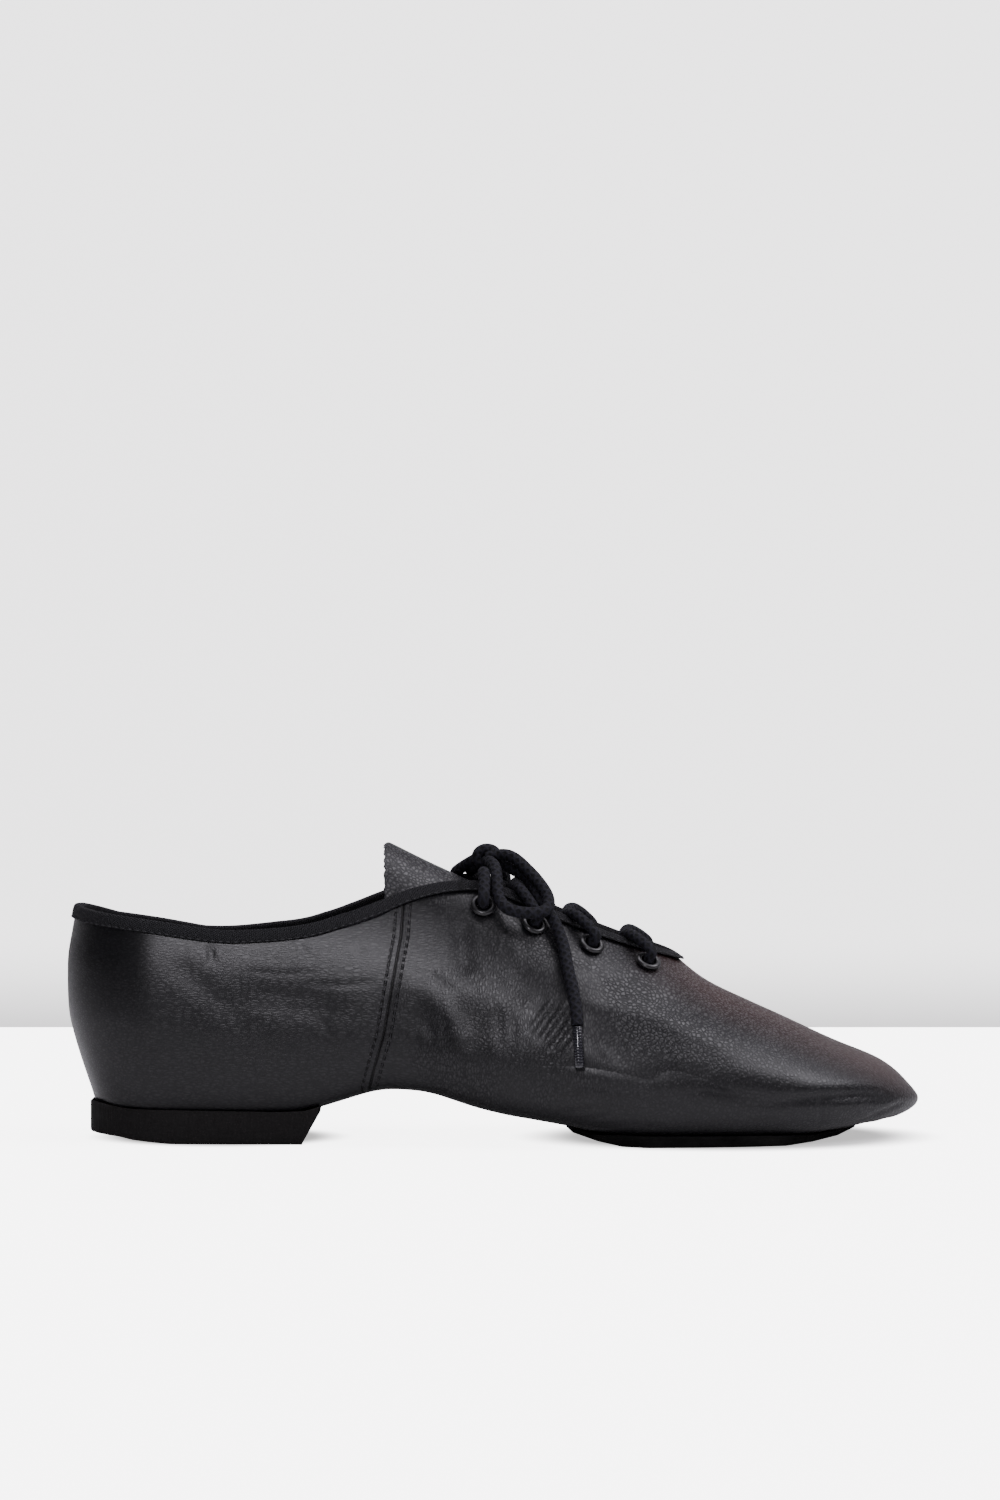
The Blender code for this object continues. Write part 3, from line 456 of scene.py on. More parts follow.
def tape_finish(colours):
    """Binding tape: fine ribs across its run, over its own length coordinate."""
    made, tree, shader = material("binding_tape", colours.tape, 0.75, specular_ior_level=0.30)
    run = attribute(tree, "run")
    z = axes(tree, place(tree))[2]
    ribs = (run * (TURN / (0.55 * MM))).sine()
    picks = (run * (TURN / (1.1 * MM)) + z * (TURN / (0.5 * MM))).sine()
    fuzz = noise(tree, 2100.0, 2.0)
    height = ribs * 0.55 + picks * 0.5 + fuzz * 0.8
    # Painted shade and highlight: the colour follows the relief, darker in the hollows between ribs and
    # lighter on their tops. The fuzz adds tone at random.
    shade = blend_tints(tree, height.between(-0.5, 1.4), colours.tape, 0.5, 1.8)
    feed(tree, shader, base_color=shade, normal=bump(tree, height, 0.30 * MM))
    return made


def thread_finish(colours):
    """Plied sewing thread, a little lighter than the leather."""
    made, tree, shader = material("sewing_thread", colours.tape, 0.6)
    ply = noise(tree, 4200.0, 1.0)
    shade = blend_tints(tree, ply, colours.tape, 0.8, 1.7)
    feed(tree, shader, base_color=shade, normal=bump(tree, ply, 0.05 * MM))
    return made


def enamel_finish():
    """Black enamel over metal, rubbed lighter in places."""
    colour = (0.012, 0.012, 0.013)
    made, tree, shader = material("eyelet_enamel", colour, 0.30, coat_weight=0.35)
    worn = noise(tree, 900.0, 3.0)
    shade = blend_colours(tree, worn.between(0.58, 0.80), tint(colour, 1), (0.055, 0.052, 0.050, 1))
    relief = bump(tree, worn, 0.02 * MM)
    feed(tree, shader, base_color=shade, roughness=0.26 + 0.18 * worn, normal=relief)
    return made


def film_finish():
    """The hard tip: clear film wound tight over the dark lace."""
    made, tree, shader = material("tip_film", (0.020, 0.020, 0.024), 0.16, coat_weight=1.0)
    values = {"Vector": place(tree), "Scale": 380.0, "Distortion": 1.5}
    wound = node(tree, "TexWave", {"bands_direction": "Z"}, values, "Fac")
    shade = blend_colours(tree, wound, (0.010, 0.010, 0.014, 1), (0.040, 0.040, 0.048, 1))
    feed(tree, shader, base_color=shade, normal=bump(tree, wound, 0.03 * MM))
    return made


def felt_finish(colours):
    """The sock's cloth: plain weave, a little worn in patches."""
    made, tree, shader = material("sock_cloth", (0.024, 0.024, 0.026), 0.9, sheen_weight=0.2)
    x, y, _ = axes(tree, place(tree))
    turn = TURN / (0.8 * MM)
    weave = (x * turn).sine() * (y * turn).sine()
    worn = noise(tree, 60.0, 3.0)
    shade = blend_colours(tree, worn.between(0.35, 0.7), (0.018, 0.018, 0.020, 1), (0.034, 0.033, 0.034, 1))
    feed(tree, shader, base_color=shade, normal=bump(tree, weave, 0.10 * MM))
    return made


def put(name, data):
    """A new object, in the scene."""
    thing = bpy.data.objects.new(name, data)
    bpy.context.scene.collection.objects.link(thing)
    return thing


def show(name, mesh, finish, slot=None, replaced=()):
    """A finished piece of the shoe, riding on its body."""
    mesh.name = name
    mesh.shade_smooth()
    piece = put(name, mesh)
    if not mesh.materials:
        mesh.materials.append(finish)
    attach(piece, "root")
    if replaced:
        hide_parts(*replaced)
    return piece


def show_closed(name, bm, *rest):
    return show(name, closed_mesh(bm, name), *rest)


def to_mesh(bm, name):
    mesh = bpy.data.meshes.new(name)
    bm.to_mesh(mesh)
    bm.free()
    return mesh


def merged(name):
    """A copy of a solid's mesh with its loose triangles joined."""
    bm = bmesh.new()
    bm.from_mesh(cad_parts[name].data)
    bmesh.ops.remove_doubles(bm, verts=bm.verts, dist=2e-6)
    return bm


def quads(bm):
    bmesh.ops.join_triangles(
        bm, faces=bm.faces, angle_face_threshold=math.radians(40), angle_shape_threshold=math.radians(70)
    )


def modified(mesh, *steps):
    """The mesh after modifiers, each a kind and its settings."""
    carrier = put("carrier", mesh)
    for kind, settings in steps:
        modifier = carrier.modifiers.new(kind, kind)
        for key, value in settings.items():
            setattr(modifier, key, value)
    made = bpy.data.meshes.new_from_object(carrier.evaluated_get(bpy.context.evaluated_depsgraph_get()))
    bpy.data.objects.remove(carrier)
    return made


def subdivided(bm, name, levels):
    return modified(to_mesh(bm, name), ("SUBSURF", {"levels": levels, "render_levels": levels}))


def softened(name, levels):
    """A subdivided copy of a solid, its triangles paired first."""
    bm = merged(name)
    quads(bm)
    return subdivided(bm, name, levels)


def standing(centre, axis):
    """The matrix that lays Z along an axis, at a centre."""
    return Matrix.Translation(centre) @ Vector((0, 0, 1)).rotation_difference(axis).to_matrix().to_4x4()


def metres(points):
    """Points given in mm."""
    return tuple(tuple(round(value * MM, 7) for value in point) for point in points)


def corners(mesh):
    """(positions, normals) of a mesh's vertices."""
    count = len(mesh.vertices)
    spots, normals = np.empty(count * 3), np.empty(count * 3)
    mesh.vertices.foreach_get("co", spots)
    mesh.vertices.foreach_get("normal", normals)
    return spots.reshape(-1, 3), normals.reshape(-1, 3)


def smooth_run(points, spacing):
    """Points a spacing apart on a smooth curve through the given ones."""
    points = [Vector(p) for p in points]
    ends = [2 * points[0] - points[1]] + points + [2 * points[-1] - points[-2]]
    fine = []
    for a, b, c, d in zip(ends, ends[1:], ends[2:], ends[3:]):
        for i in range(10):
            t = i / 10
            bend = (2 * a - 5 * b + 4 * c - d) * t * t + (3 * b - a - 3 * c + d) * t**3
            fine.append(0.5 * (2 * b + (c - a) * t + bend))
    fine.append(points[-1])
    gone = [0.0]
    for before, after in zip(fine, fine[1:]):
        gone.append(gone[-1] + (after - before).length)
    count = max(2, round(gone[-1] / spacing))
    found = []
    for i in range(count + 1):
        goal = gone[-1] * i / count
        k = min(max(int(np.searchsorted(gone, goal)) - 1, 0), len(fine) - 2)
        found.append(fine[k].lerp(fine[k + 1], (goal - gone[k]) / max(gone[k + 1] - gone[k], 1e-9)))
    return found


def run_length(points):
    return sum((b - a).length for a, b in zip(points, points[1:]))


def tube_frames(points):
    """A frame at each point whose Z runs along the cord and which doesn't twist."""
    frames = []
    side = None
    for i, point in enumerate(points):
        run = (points[min(i + 1, len(points) - 1)] - points[max(i - 1, 0)]).normalized()
        if side is None:
            side = run.orthogonal().normalized()
        side = (side - run * side.dot(run)).normalized()
        other = run.cross(side)
        frames.append(Matrix((side, other, run)).transposed().to_4x4())
        frames[-1].translation = point
    return frames


def add_cord(bm, points, width, sides=14):
    """A closed round cord; its UV runs once round it and, in metres, along it."""
    uv = bm.loops.layers.uv.verify()
    frames = tube_frames(points)
    ring = bmesh.ops.create_circle(bm, segments=sides, radius=width / 2, matrix=frames[0])["verts"]
    edges = list(dict.fromkeys(edge for vert in ring for edge in vert.link_edges))
    known = {}
    gone = 0.0

    def note(verts, matrix, along):
        back = matrix.inverted()
        for vert in verts:
            spot = back @ vert.co
            known[vert] = (math.atan2(spot.y, spot.x) / TURN, along)

    note(ring, frames[0], gone)
    bmesh.ops.contextual_create(bm, geom=edges)
    for before, after in zip(frames, frames[1:]):
        grown = bmesh.ops.extrude_edge_only(bm, edges=edges)["geom"]
        verts, fresh, faces = (
            [item for item in grown if isinstance(item, kind)]
            for kind in (bmesh.types.BMVert, bmesh.types.BMEdge, bmesh.types.BMFace)
        )
        edges = [edge for edge in fresh if all(vert in verts for vert in edge.verts)]
        bmesh.ops.transform(bm, matrix=after @ before.inverted(), verts=verts)
        gone += (after.translation - before.translation).length
        note(verts, after, gone)
        for face in faces:
            turns = [known[loop.vert] for loop in face.loops]
            wide = max(t[0] for t in turns) - min(t[0] for t in turns) > 0.5
            for loop, (around, along) in zip(face.loops, turns):
                loop[uv].uv = (around + 1 if wide and around < 0 else around, along)
    bmesh.ops.contextual_create(bm, geom=edges)


def closed_mesh(bm, name):
    bmesh.ops.recalc_face_normals(bm, faces=bm.faces)
    return to_mesh(bm, name)


def turned(name, profile, steps, matrix, closed=False):
    """A profile of (radius, height) turned round Z, then moved by the matrix."""
    bm = bmesh.new()
    verts = [bm.verts.new((radius, 0, height)) for radius, height in profile]
    pairs = zip(verts[-1:] + verts, verts) if closed else zip(verts, verts[1:])
    edges = [bm.edges.new(pair) for pair in pairs]
    bmesh.ops.spin(
        bm, geom=verts + edges, axis=(0, 0, 1), cent=(0, 0, 0), angle=TURN, steps=steps, use_merge=True
    )
    bmesh.ops.remove_doubles(bm, verts=bm.verts, dist=1e-6)
    bmesh.ops.transform(bm, matrix=matrix, verts=bm.verts)
    return closed_mesh(bm, name)


def gap_to(points, line):
    """Signed distance of points from a polyline, both in side view, and the share along it."""
    line = np.array(line, float)
    best = np.full(len(points), 1e9)
    signed = np.zeros(len(points))
    along = np.zeros(len(points))
    for i, (start, end) in enumerate(zip(line, line[1:])):
        step = end - start
        t = np.clip(((points - start) @ step) / (step @ step), 0, 1)
        away = points - (start + t[:, None] * step)
        far = np.hypot(*away.T)
        near = far < best
        best[near] = far[near]
        signed[near] = (np.sign(step[0] * away[:, 1] - step[1] * away[:, 0]) * far)[near]
        along[near] = ((i + t) / (len(line) - 1))[near]
    return signed, along


def crease_field(spots, scale):
    """How far each point moves along its normal, in metres, for the listed creases."""
    side_view = spots[:, [0, 2]] / MM
    total = np.zeros(len(spots))
    for side, mirrored, share in ((-1, 0.0, 1.0), (1, 3.0, 0.85)):
        facing = np.clip((spots[:, 1] * side / MM - 1.0) / 5.0, 0, 1)
        for strokes in CREASES.values():
            for width, depth, *line in strokes:
                moved = np.reshape(line, (-1, 2)) + (mirrored, 0.3 * mirrored)
                gap, along = gap_to(side_view, moved)
                q = (gap / width) ** 2
                taper = 1 - np.abs(2 * along - 1) ** 4
                total += share * depth * (1 - 0.8 * q) * np.exp(-q) * (0.25 + 0.75 * taper) * facing
    return total * MM * scale


def drape(spots):
    """Lets the collar's line sag and rise as it does on the worn leather, on each side by itself."""
    x, y, z = spots.T / MM
    near = np.interp(x, (-40, -26, 3.5, 21, 33, 46), (0, 0.7, 1.6, 2.4, 2.1, 0))
    far = np.interp(x, (-44, -34, -8, 3, 14, 28, 36, 46), (0, -1.7, -1.8, -0.6, 0.5, 1.3, 1.1, 0))
    share = np.clip((y + 8) / 16, 0, 1)
    high = np.clip((z - 36) / 18, 0, 1)
    spots[:, 2] += (near * (1 - share) + far * share) * high * high * (3 - 2 * high) * MM


def side_hit(tree, x, z, side):
    """(point, normal) of the upper's face at a place of the side view, in mm."""
    return tree.ray_cast(Vector((x * MM, side * 0.2, z * MM)), Vector((0, -side, 0)))[:2]


def ring_axes(name):
    """(centre, outward axis) of an eyelet, from its solid."""
    spots = np.array([v.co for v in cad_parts[name].data.vertices])
    low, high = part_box(name)
    centre = np.array((low + high) / 2)
    axis = Vector(np.linalg.svd(spots - spots.mean(0), full_matrices=False)[2][2])
    return Vector(centre), axis if axis.z > 0 else -axis


def eyelet_names():
    return [f"eyelet_{word}_{number}" for word, _ in SIDES for number in (1, 2, 3, 4)]


def smooth_shell():
    """The upper's outer face alone, as a smooth open surface with its eyelet holes filled."""
    bm = merged("upper")
    start = min(bm.faces, key=lambda f: f.calc_center_median().y)
    outer, wave = {start}, [start]
    while wave:
        face = wave.pop()
        for edge in face.edges:
            for other in edge.link_faces:
                if other not in outer and edge.calc_face_angle(0) < math.radians(62):
                    outer.add(other)
                    wave.append(other)
    bmesh.ops.delete(bm, geom=[f for f in bm.faces if f not in outer], context="FACES")
    for name in eyelet_names():
        centre, axis = ring_axes(name)
        rim = [v for v in bm.verts if v.is_boundary and (v.co - centre).length < HOLE_REACH]
        edges = [e for e in bm.edges if e.is_boundary and all(v in rim for v in e.verts)]
        lid = bmesh.ops.contextual_create(bm, geom=edges)["faces"]
        patch = list(dict.fromkeys([f for v in rim for f in v.link_faces] + lid))
        bmesh.ops.dissolve_faces(bm, faces=patch, use_verts=True)
    quads(bm)
    bmesh.ops.recalc_face_normals(bm, faces=bm.faces)
    return subdivided(bm, "shell", 2)


def hole_cutter():
    """A rod through every eyelet's hole, to be taken away again after it has cut."""
    bm = bmesh.new()
    for name in eyelet_names():
        centre, axis = ring_axes(name)
        bmesh.ops.create_cone(
            bm, cap_ends=True, segments=24, radius1=HOLE / 2, radius2=HOLE / 2, depth=7 * MM,
            matrix=standing(centre, axis),
        )
    cutter = put("hole_cutter", to_mesh(bm, "hole_cutter"))
    cutter.hide_render = True
    return cutter


def add_stitches(bm, spots, sizes, share=0.62):
    """Small threads lying along (point, normal) spots, one a pitch."""
    for (point, normal), (after, _) in zip(spots, spots[1:]):
        run = (after - point).normalized()
        middle = point.lerp(after, 0.5) + normal * 0.05 * MM
        across = normal.cross(run).normalized()
        long, thick = (after - point).length * share / 2, sizes.thread_width / 2
        stretch = Matrix((run * long, across * thick, normal * thick)).transposed().to_4x4()
        stretch.translation = middle
        lying = stretch @ Matrix.Rotation(math.pi / 2, 4, "Y")
        bmesh.ops.create_uvsphere(bm, u_segments=6, v_segments=4, radius=1.0, matrix=lying)


def even_spots(spots, pitch):
    """(point, normal) spots walked again at an even pitch."""
    found = [spots[0]]
    left = pitch
    for (a, na), (b, nb) in zip(spots, spots[1:]):
        length = (b - a).length
        while length > 0 and left <= length:
            t = left / length
            found.append((a.lerp(b, t), na.lerp(nb, t).normalized()))
            left += pitch
        left -= length
    return found


class JAZZSHOE_OT_stage(bpy.types.Operator):
    """Camera at the photograph's angle, pale floor and wall, and soft light"""

    bl_idname = "jazzshoe.stage"
    bl_label = "Stage"

    def execute(self, context):
        looks = context.scene.jazz_stage
        scene = context.scene
        camera = put("camera", bpy.data.cameras.new("camera"))
        scene.camera = camera
        tilt = math.radians(3.0)
        back = Vector((0, -math.cos(tilt), math.sin(tilt)))
        camera.data.lens = 200
        camera.data.sensor_width = 36
        camera.location = Vector((0.0815, 0, 0.1164)) + back * 2.5
        camera.rotation_euler = (math.pi / 2 - tilt, 0, 0)
        camera.data.clip_start, camera.data.clip_end = 0.1, 50
        self.floor_and_wall(looks)
        for name, spot, target, wide, tall, share in LIGHTS:
            self.light(name, spot, target, wide, tall, looks.key_power * share)
        world = bpy.data.worlds.new("studio")
        world.use_nodes = True
        sky = world.node_tree.nodes["Background"]
        sky.inputs["Color"].default_value = (0.80, 0.80, 0.80, 1)
        sky.inputs["Strength"].default_value = 0.05
        scene.world = world
        return {"FINISHED"}

    def floor_and_wall(self, looks):
        floor = bmesh.new()
        bmesh.ops.create_circle(floor, cap_ends=True, segments=96, radius=4.0)
        wall = bmesh.new()
        upright = Matrix.Translation((0, BACKDROP, 1.5)) @ Matrix.Rotation(math.pi / 2, 4, "X")
        bmesh.ops.create_grid(wall, x_segments=2, y_segments=2, size=1.5, matrix=upright)
        for name, bm, colour, glow in (
            ("floor", floor, looks.floor, looks.floor_glow), ("wall", wall, looks.wall, looks.wall_glow)
        ):
            made, tree, shader = material(
                "stage_" + name, colour, 0.9, specular_ior_level=0.0, emission_strength=glow
            )
            seen_straight = node(tree, "LightPath", out="Is Camera Ray")
            x, y, z = axes(tree, place(tree))
            if name == "wall":
                # Painted shade: the wall's glow falls off towards its foot, where it meets the floor.
                glow_with_painted_light_and_shade = 0.30 + 0.70 * z.between(-0.012, 0.034)
            else:
                # Painted shadow: the floor's glow is dimmed in soft ovals under the forefoot and the heel.
                # Painted light: the glow is brighter towards the wall.
                glow_with_painted_light_and_shade = self.contact_shade(x, y, 0.150, 0.060, 0.044)
                glow_with_painted_light_and_shade = glow_with_painted_light_and_shade * self.contact_shade(x, y, -0.003, 0.037, 0.031)
                glow_with_painted_light_and_shade = glow_with_painted_light_and_shade * (1 + 0.5 * y.between(0.20, BACKDROP))
            pale = blend_colours(tree, seen_straight * glow_with_painted_light_and_shade, (0, 0, 0, 1), (1.0, 0.985, 0.99, 1))
            feed(tree, shader, emission_color=pale)
            if name == "wall":
                behind = node(tree, "NewGeometry", {}, {}, "Backfacing")
                clear = node(tree, "BsdfTransparent")
                seen = Wire(tree, shader.outputs[0])
                mix = node(tree, "MixShader", {}, {0: behind, 1: seen, 2: clear})
                tree.links.new(mix.socket, tree.nodes["Material Output"].inputs["Surface"])
            mesh = to_mesh(bm, name)
            mesh.materials.append(made)
            put(name, mesh)

    def contact_shade(self, x, y, middle, long, wide):
        """The floor's glow, dimmed in a soft oval where the shoe stands."""
        away = ((x - middle) * (1 / long)) ** 2 + (y * (1 / wide)) ** 2
        return 0.12 + 0.88 * away.between(0.55, 1.25)

    def light(self, name, spot, target, wide, tall, power):
        lamp = bpy.data.lights.new(name, "AREA")
        lamp.shape = "RECTANGLE"
        lamp.size, lamp.size_y, lamp.energy = wide, tall, power
        lamp.color = (0.96, 0.93, 1.0)
        thing = put(name, lamp)
        thing.location = spot
        thing.rotation_euler = (Vector(target) - Vector(spot)).to_track_quat("-Z", "Y").to_euler()


class JAZZSHOE_OT_bow(bpy.types.Operator):
    """The free cord: each side's lead and end in one run, its loop, its tip, and the knot"""

    bl_idname = "jazzshoe.bow"
    bl_label = "Bow"

    def execute(self, context):
        sizes, colours = context.scene.jazz_sizes, context.scene.jazz_colours
        braid = woven_finish("braided_lace", colours.lace, 2.6 * MM, 4)
        film = film_finish()
        width = sizes.lace_width
        self.make_knot(braid, width)
        for word, side in SIDES:
            tip = self.make_tip(word, film)
            ends = KNOT + Vector((0.0010, side * 0.0012, -0.0010))
            lead = metres(LEADS[word])
            route = smooth_run(lead + (ends,) + metres(ENDS[word]), CORD_STEP)
            run = self.make_cord(f"lace_run_{word}", route, width, braid)
            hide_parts(f"lace_lead_{word}", f"lace_end_{word}")
            run_length(route)
            inside = KNOT + Vector((0, side * 0.0030, 0))
            below = inside - Vector((0, 0, 0.0010))
            route = smooth_run((inside,) + metres(LOOPS[word]) + (below,), CORD_STEP)
            loop = self.make_cord(f"lace_bow_{word}", route, width, braid)
            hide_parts(f"lace_loop_{word}")
            run_length(route)
        return {"FINISHED"}

    def make_cord(self, name, route, width, finish):
        bm = bmesh.new()
        add_cord(bm, route, width)
        return show_closed(name, bm, finish, "lace_cord")

    def make_knot(self, finish, width):
        """A wrap and a half of the cord round the crossing loops, pulled slantwise."""
        bm = bmesh.new()
        wrap = []
        for i in range(23):
            turn = TURN * (i / 22 * 1.55 + 0.18)
            share = i / 22 - 0.5
            slant = 0.0008 * math.sin(turn)
            wrap.append(
                KNOT + Vector((0.0030 * math.cos(turn), share * 0.0056 + slant, 0.0023 * math.sin(turn)))
            )
        add_cord(bm, smooth_run(wrap, 0.7 * MM), width * 0.92)
        core = metres(((-2, 1, -1), (0, 0.2, 0.4), (2, -1, 1)))
        add_cord(bm, smooth_run([KNOT + Vector(p) for p in core], 0.7 * MM), width)
        show_closed("lace_knot_wrap", bm, finish, "lace_cord", ("lace_knot",))

    def make_tip(self, word, finish):
        """A turned tip with rounded ends, along its solid's axis."""
        top, foot = (Vector(p) for p in metres((ENDS[word][-1], TIPS[word])))
        length = (foot - top).length
        radius = TIP_RADIUS
        profile = (
            (0, 0.35 * MM), (radius * 0.90, 0.40 * MM), (radius, 0.9 * MM), (radius * 0.97, length * 0.5),
            (radius, length - 0.8 * MM), (radius * 0.86, length - 0.15 * MM), (0, length),
        )
        name = f"lace_film_{word}"
        mesh = turned(name, profile, 24, standing(top, foot - top))
        return show(name, mesh, finish, "lace_tip", (f"lace_tip_{word}",))


class JAZZSHOE_OT_upper(bpy.types.Operator):
    """The leather upper with its creases, lining, seam and stitches, and the bound edge"""

    bl_idname = "jazzshoe.upper"
    bl_label = "Upper"

    def execute(self, context):
        sizes, colours = context.scene.jazz_sizes, context.scene.jazz_colours
        shell = smooth_shell()
        spots, _ = corners(shell)
        drape(spots)
        shell.vertices.foreach_set("co", spots.ravel())
        shell.update()
        skin_count = len(shell.polygons)
        rim = self.collar_rim(shell)
        settings = {"thickness": WALL, "offset": -1, "material_offset": 1, "material_offset_rim": 1}
        walled = modified(shell, ("SOLIDIFY", settings))
        fine = self.fine_skin(walled, skin_count, sizes)
        fine.materials.clear()
        fine.materials.append(leather_finish(colours, sizes))
        fine.materials.append(suede_finish("lining_suede", colours.lining, 0.25))
        cutter = hole_cutter()
        cut = modified(fine, ("BOOLEAN", {"operation": "DIFFERENCE", "object": cutter}))
        bpy.data.objects.remove(cutter)
        spots, _ = corners(cut)
        gap, share = gap_to(spots[:, [0, 2]] / MM, SEAM)
        length = sum(math.dist(a, b) for a, b in zip(SEAM, SEAM[1:]))
        for key, values in (("seam_gap", gap * MM), ("seam_run", share * length * MM)):
            layer = cut.attributes.new(key, "FLOAT", "POINT")
            layer.data.foreach_set("value", values.astype(np.float32))
        upper = show("leather_upper", cut, None, "upper_leather", ("upper",))
        places = [v.co for v in upper.data.vertices]
        tree = BVHTree.FromPolygons(places, [p.vertices for p in upper.data.polygons])
        thread = thread_finish(colours)
        self.seam_stitches(tree, thread, sizes)
        self.binding(rim, thread, sizes, colours)
        return {"FINISHED"}

    def collar_rim(self, shell):
        """The open edge round collar and throat, as ordered (point, normal) spots."""
        bm = bmesh.new()
        bm.from_mesh(shell)
        bm.normal_update()
        start = max((v for v in bm.verts if v.is_boundary), key=lambda v: v.co.z)
        loop, here = [start], start
        while True:
            ahead = [e.other_vert(here) for e in here.link_edges if e.is_boundary]
            fresh = [v for v in ahead if v not in loop[-2:] and v is not loop[0]]
            if not fresh or (len(loop) > 2 and loop[0] in ahead and len(loop) > 40):
                break
            here = fresh[0]
            loop.append(here)
        found = [(v.co.copy(), v.normal.copy()) for v in loop]
        bm.free()
        return found

    def fine_skin(self, mesh, skin_count, sizes):
        """Halves the outer face's cells and sinks the creases into it."""
        bm = bmesh.new()
        bm.from_mesh(mesh)
        bm.faces.ensure_lookup_table()
        skin = bm.faces[:skin_count]
        edges = list(dict.fromkeys(e for f in skin for e in f.edges))
        bmesh.ops.subdivide_edges(bm, edges=edges, cuts=1, use_grid_fill=True)
        inner = [v for v in bm.verts if all(f.material_index == 0 for f in v.link_faces)]
        bmesh.ops.smooth_vert(bm, verts=inner, factor=0.5, use_axis_x=True, use_axis_y=True, use_axis_z=True)
        bm.normal_update()
        spots = np.array([v.co for v in inner])
        for vert, move in zip(inner, crease_field(spots, sizes.crease_depth)):
            vert.co += vert.normal * float(move)
        return to_mesh(bm, "leather_upper")

    def seam_stitches(self, tree, thread, sizes):
        bm = bmesh.new()
        for _, side in SIDES:
            for offset in (-SEAM_ROW, SEAM_ROW):
                line = smooth_run([(px + offset, 0, pz) for px, pz in SEAM], 1.0)
                hits = [side_hit(tree, p.x, p.z, side) for p in line]
                spots = [(point, normal) for point, normal in hits if point is not None]
                add_stitches(bm, even_spots(spots, sizes.stitch_pitch), sizes)
        show_closed("seam_stitches", bm, thread)

    def binding(self, rim, thread, sizes, colours):
        """The woven tape over the edge, and the row of stitches that holds it."""
        mesh = softened("collar_binding", 2)
        line = np.array([point for point, _ in rim])
        gone = np.concatenate(([0], np.cumsum(np.linalg.norm(np.diff(line, axis=0), axis=1))))
        spots, _ = corners(mesh)
        drape(spots)
        nearest = np.array([np.argmin(((line - p) ** 2).sum(1)) for p in spots])
        rim_height = line[nearest, 2]
        spots[:, 2] = rim_height + (spots[:, 2] - rim_height) * TAPE_HEIGHT
        mesh.vertices.foreach_set("co", spots.ravel())
        ahead = np.minimum(nearest + 1, len(line) - 1)
        step = line[ahead] - line[nearest]
        length = np.maximum(np.linalg.norm(step, axis=1), 1e-6)
        extra = ((spots - line[nearest]) * step).sum(1) / length
        run = mesh.attributes.new("run", "FLOAT", "POINT")
        run.data.foreach_set("value", (gone[nearest] + extra).astype(np.float32))
        show("bound_edge", mesh, tape_finish(colours), "binding_tape", ("collar_binding",))
        tree = BVHTree.FromPolygons(spots.tolist(), [p.vertices for p in mesh.polygons])
        row = []
        for (point, normal), (after, _) in zip(rim, rim[1:] + rim[:1]):
            down = normal.cross(after - point).normalized()
            if down.z > 0:
                down = -down
            spot = tree.find_nearest(point + down * TAPE_ROW_DOWN + normal * TAPE_ROW_OUT)
            row.append((spot[0], normal))
        bm = bmesh.new()
        add_stitches(bm, even_spots(row, sizes.stitch_pitch), sizes, 0.66)
        show_closed("binding_stitches", bm, thread)


class JAZZSHOE_OT_tongue(bpy.types.Operator):
    """The tongue: the same leather, with a raw, torn-looking free edge"""

    bl_idname = "jazzshoe.tongue"
    bl_label = "Tongue"

    def execute(self, context):
        colours = context.scene.jazz_colours
        mesh = softened("tongue", 3)
        spots, normals = corners(mesh)
        free = spots[:, 0].min()
        near = np.clip(1 - (spots[:, 0] - free) / (3 * MM), 0, 1)
        around = np.arctan2(spots[:, 2] - 0.045, spots[:, 1] + 0.003)
        ragged = 0.16 * np.sin(61 * around) + 0.15 * np.sin(113 * around + 1.3) + 0.1 * np.sin(171 * around)
        spots[:, 0] += near * (ragged + 0.2) * MM
        peak = np.clip((spots[:, 2] - spots[:, 2].max()) / (5 * MM) + 1, 0, 1)
        spots[:, 2] -= peak * np.clip(1 - (spots[:, 0] - free) / (2.5 * MM), 0, 1) ** 2 * 1.4 * MM
        wave = np.sin(spots[:, 0] / (9 * MM) + 3 * around) * 0.25 * MM
        spots += normals * wave[:, None] * 0.5
        mesh.vertices.foreach_set("co", spots.ravel())
        colour = tint(colours.leather, 1.35)[:3]
        made, tree, shader = material(
            "tongue_leather", colour, 0.5, specular_ior_level=0.28, coat_roughness=0.32
        )
        pebble = grain(tree, context.scene.jazz_sizes, (1, 1, 1))
        wear = noise(tree, 160.0, 4.0)
        raw = 1 - axes(tree, place(tree))[0].between(free + 0.5 * MM, free + 1.8 * MM)
        shade = blend_tints(tree, wear.between(0.3, 0.7), colours.leather, 1.1, 1.9)
        shade = blend_colours(tree, raw * 0.6, shade, (0.045, 0.045, 0.05, 1))
        rough = 0.33 + 0.10 * wear + 0.25 * raw
        relief = bump(tree, pebble + wear * 0.4, 0.13 * MM)
        feed(tree, shader, base_color=shade, roughness=rough, coat_weight=pebble * 1.1, normal=relief)
        show("leather_tongue", mesh, made, "tongue_leather", ("tongue",))
        return {"FINISHED"}


class JAZZSHOE_OT_eyelets(bpy.types.Operator):
    """Enamelled eyelets, turned round the axes of their solids"""

    bl_idname = "jazzshoe.eyelets"
    bl_label = "Eyelets"

    def execute(self, context):
        enamel = enamel_finish()
        profile = (
            (2.15, -1.5), (2.18, 1.0), (2.28, 1.45), (2.60, 1.72), (3.05, 1.74), (3.50, 1.50), (3.80, 1.10),
            (3.82, 0.80), (3.30, 0.76), (2.50, 0.80), (2.45, -0.9), (3.05, -1.2), (3.0, -1.5),
        )
        profile = [(radius * MM, height * MM) for radius, height in profile]
        for name in eyelet_names():
            ring = "ring_" + name
            mesh = turned(ring, profile, 36, standing(*ring_axes(name)), closed=True)
            show(ring, mesh, enamel, "eyelet_metal", (name,))
        return {"FINISHED"}


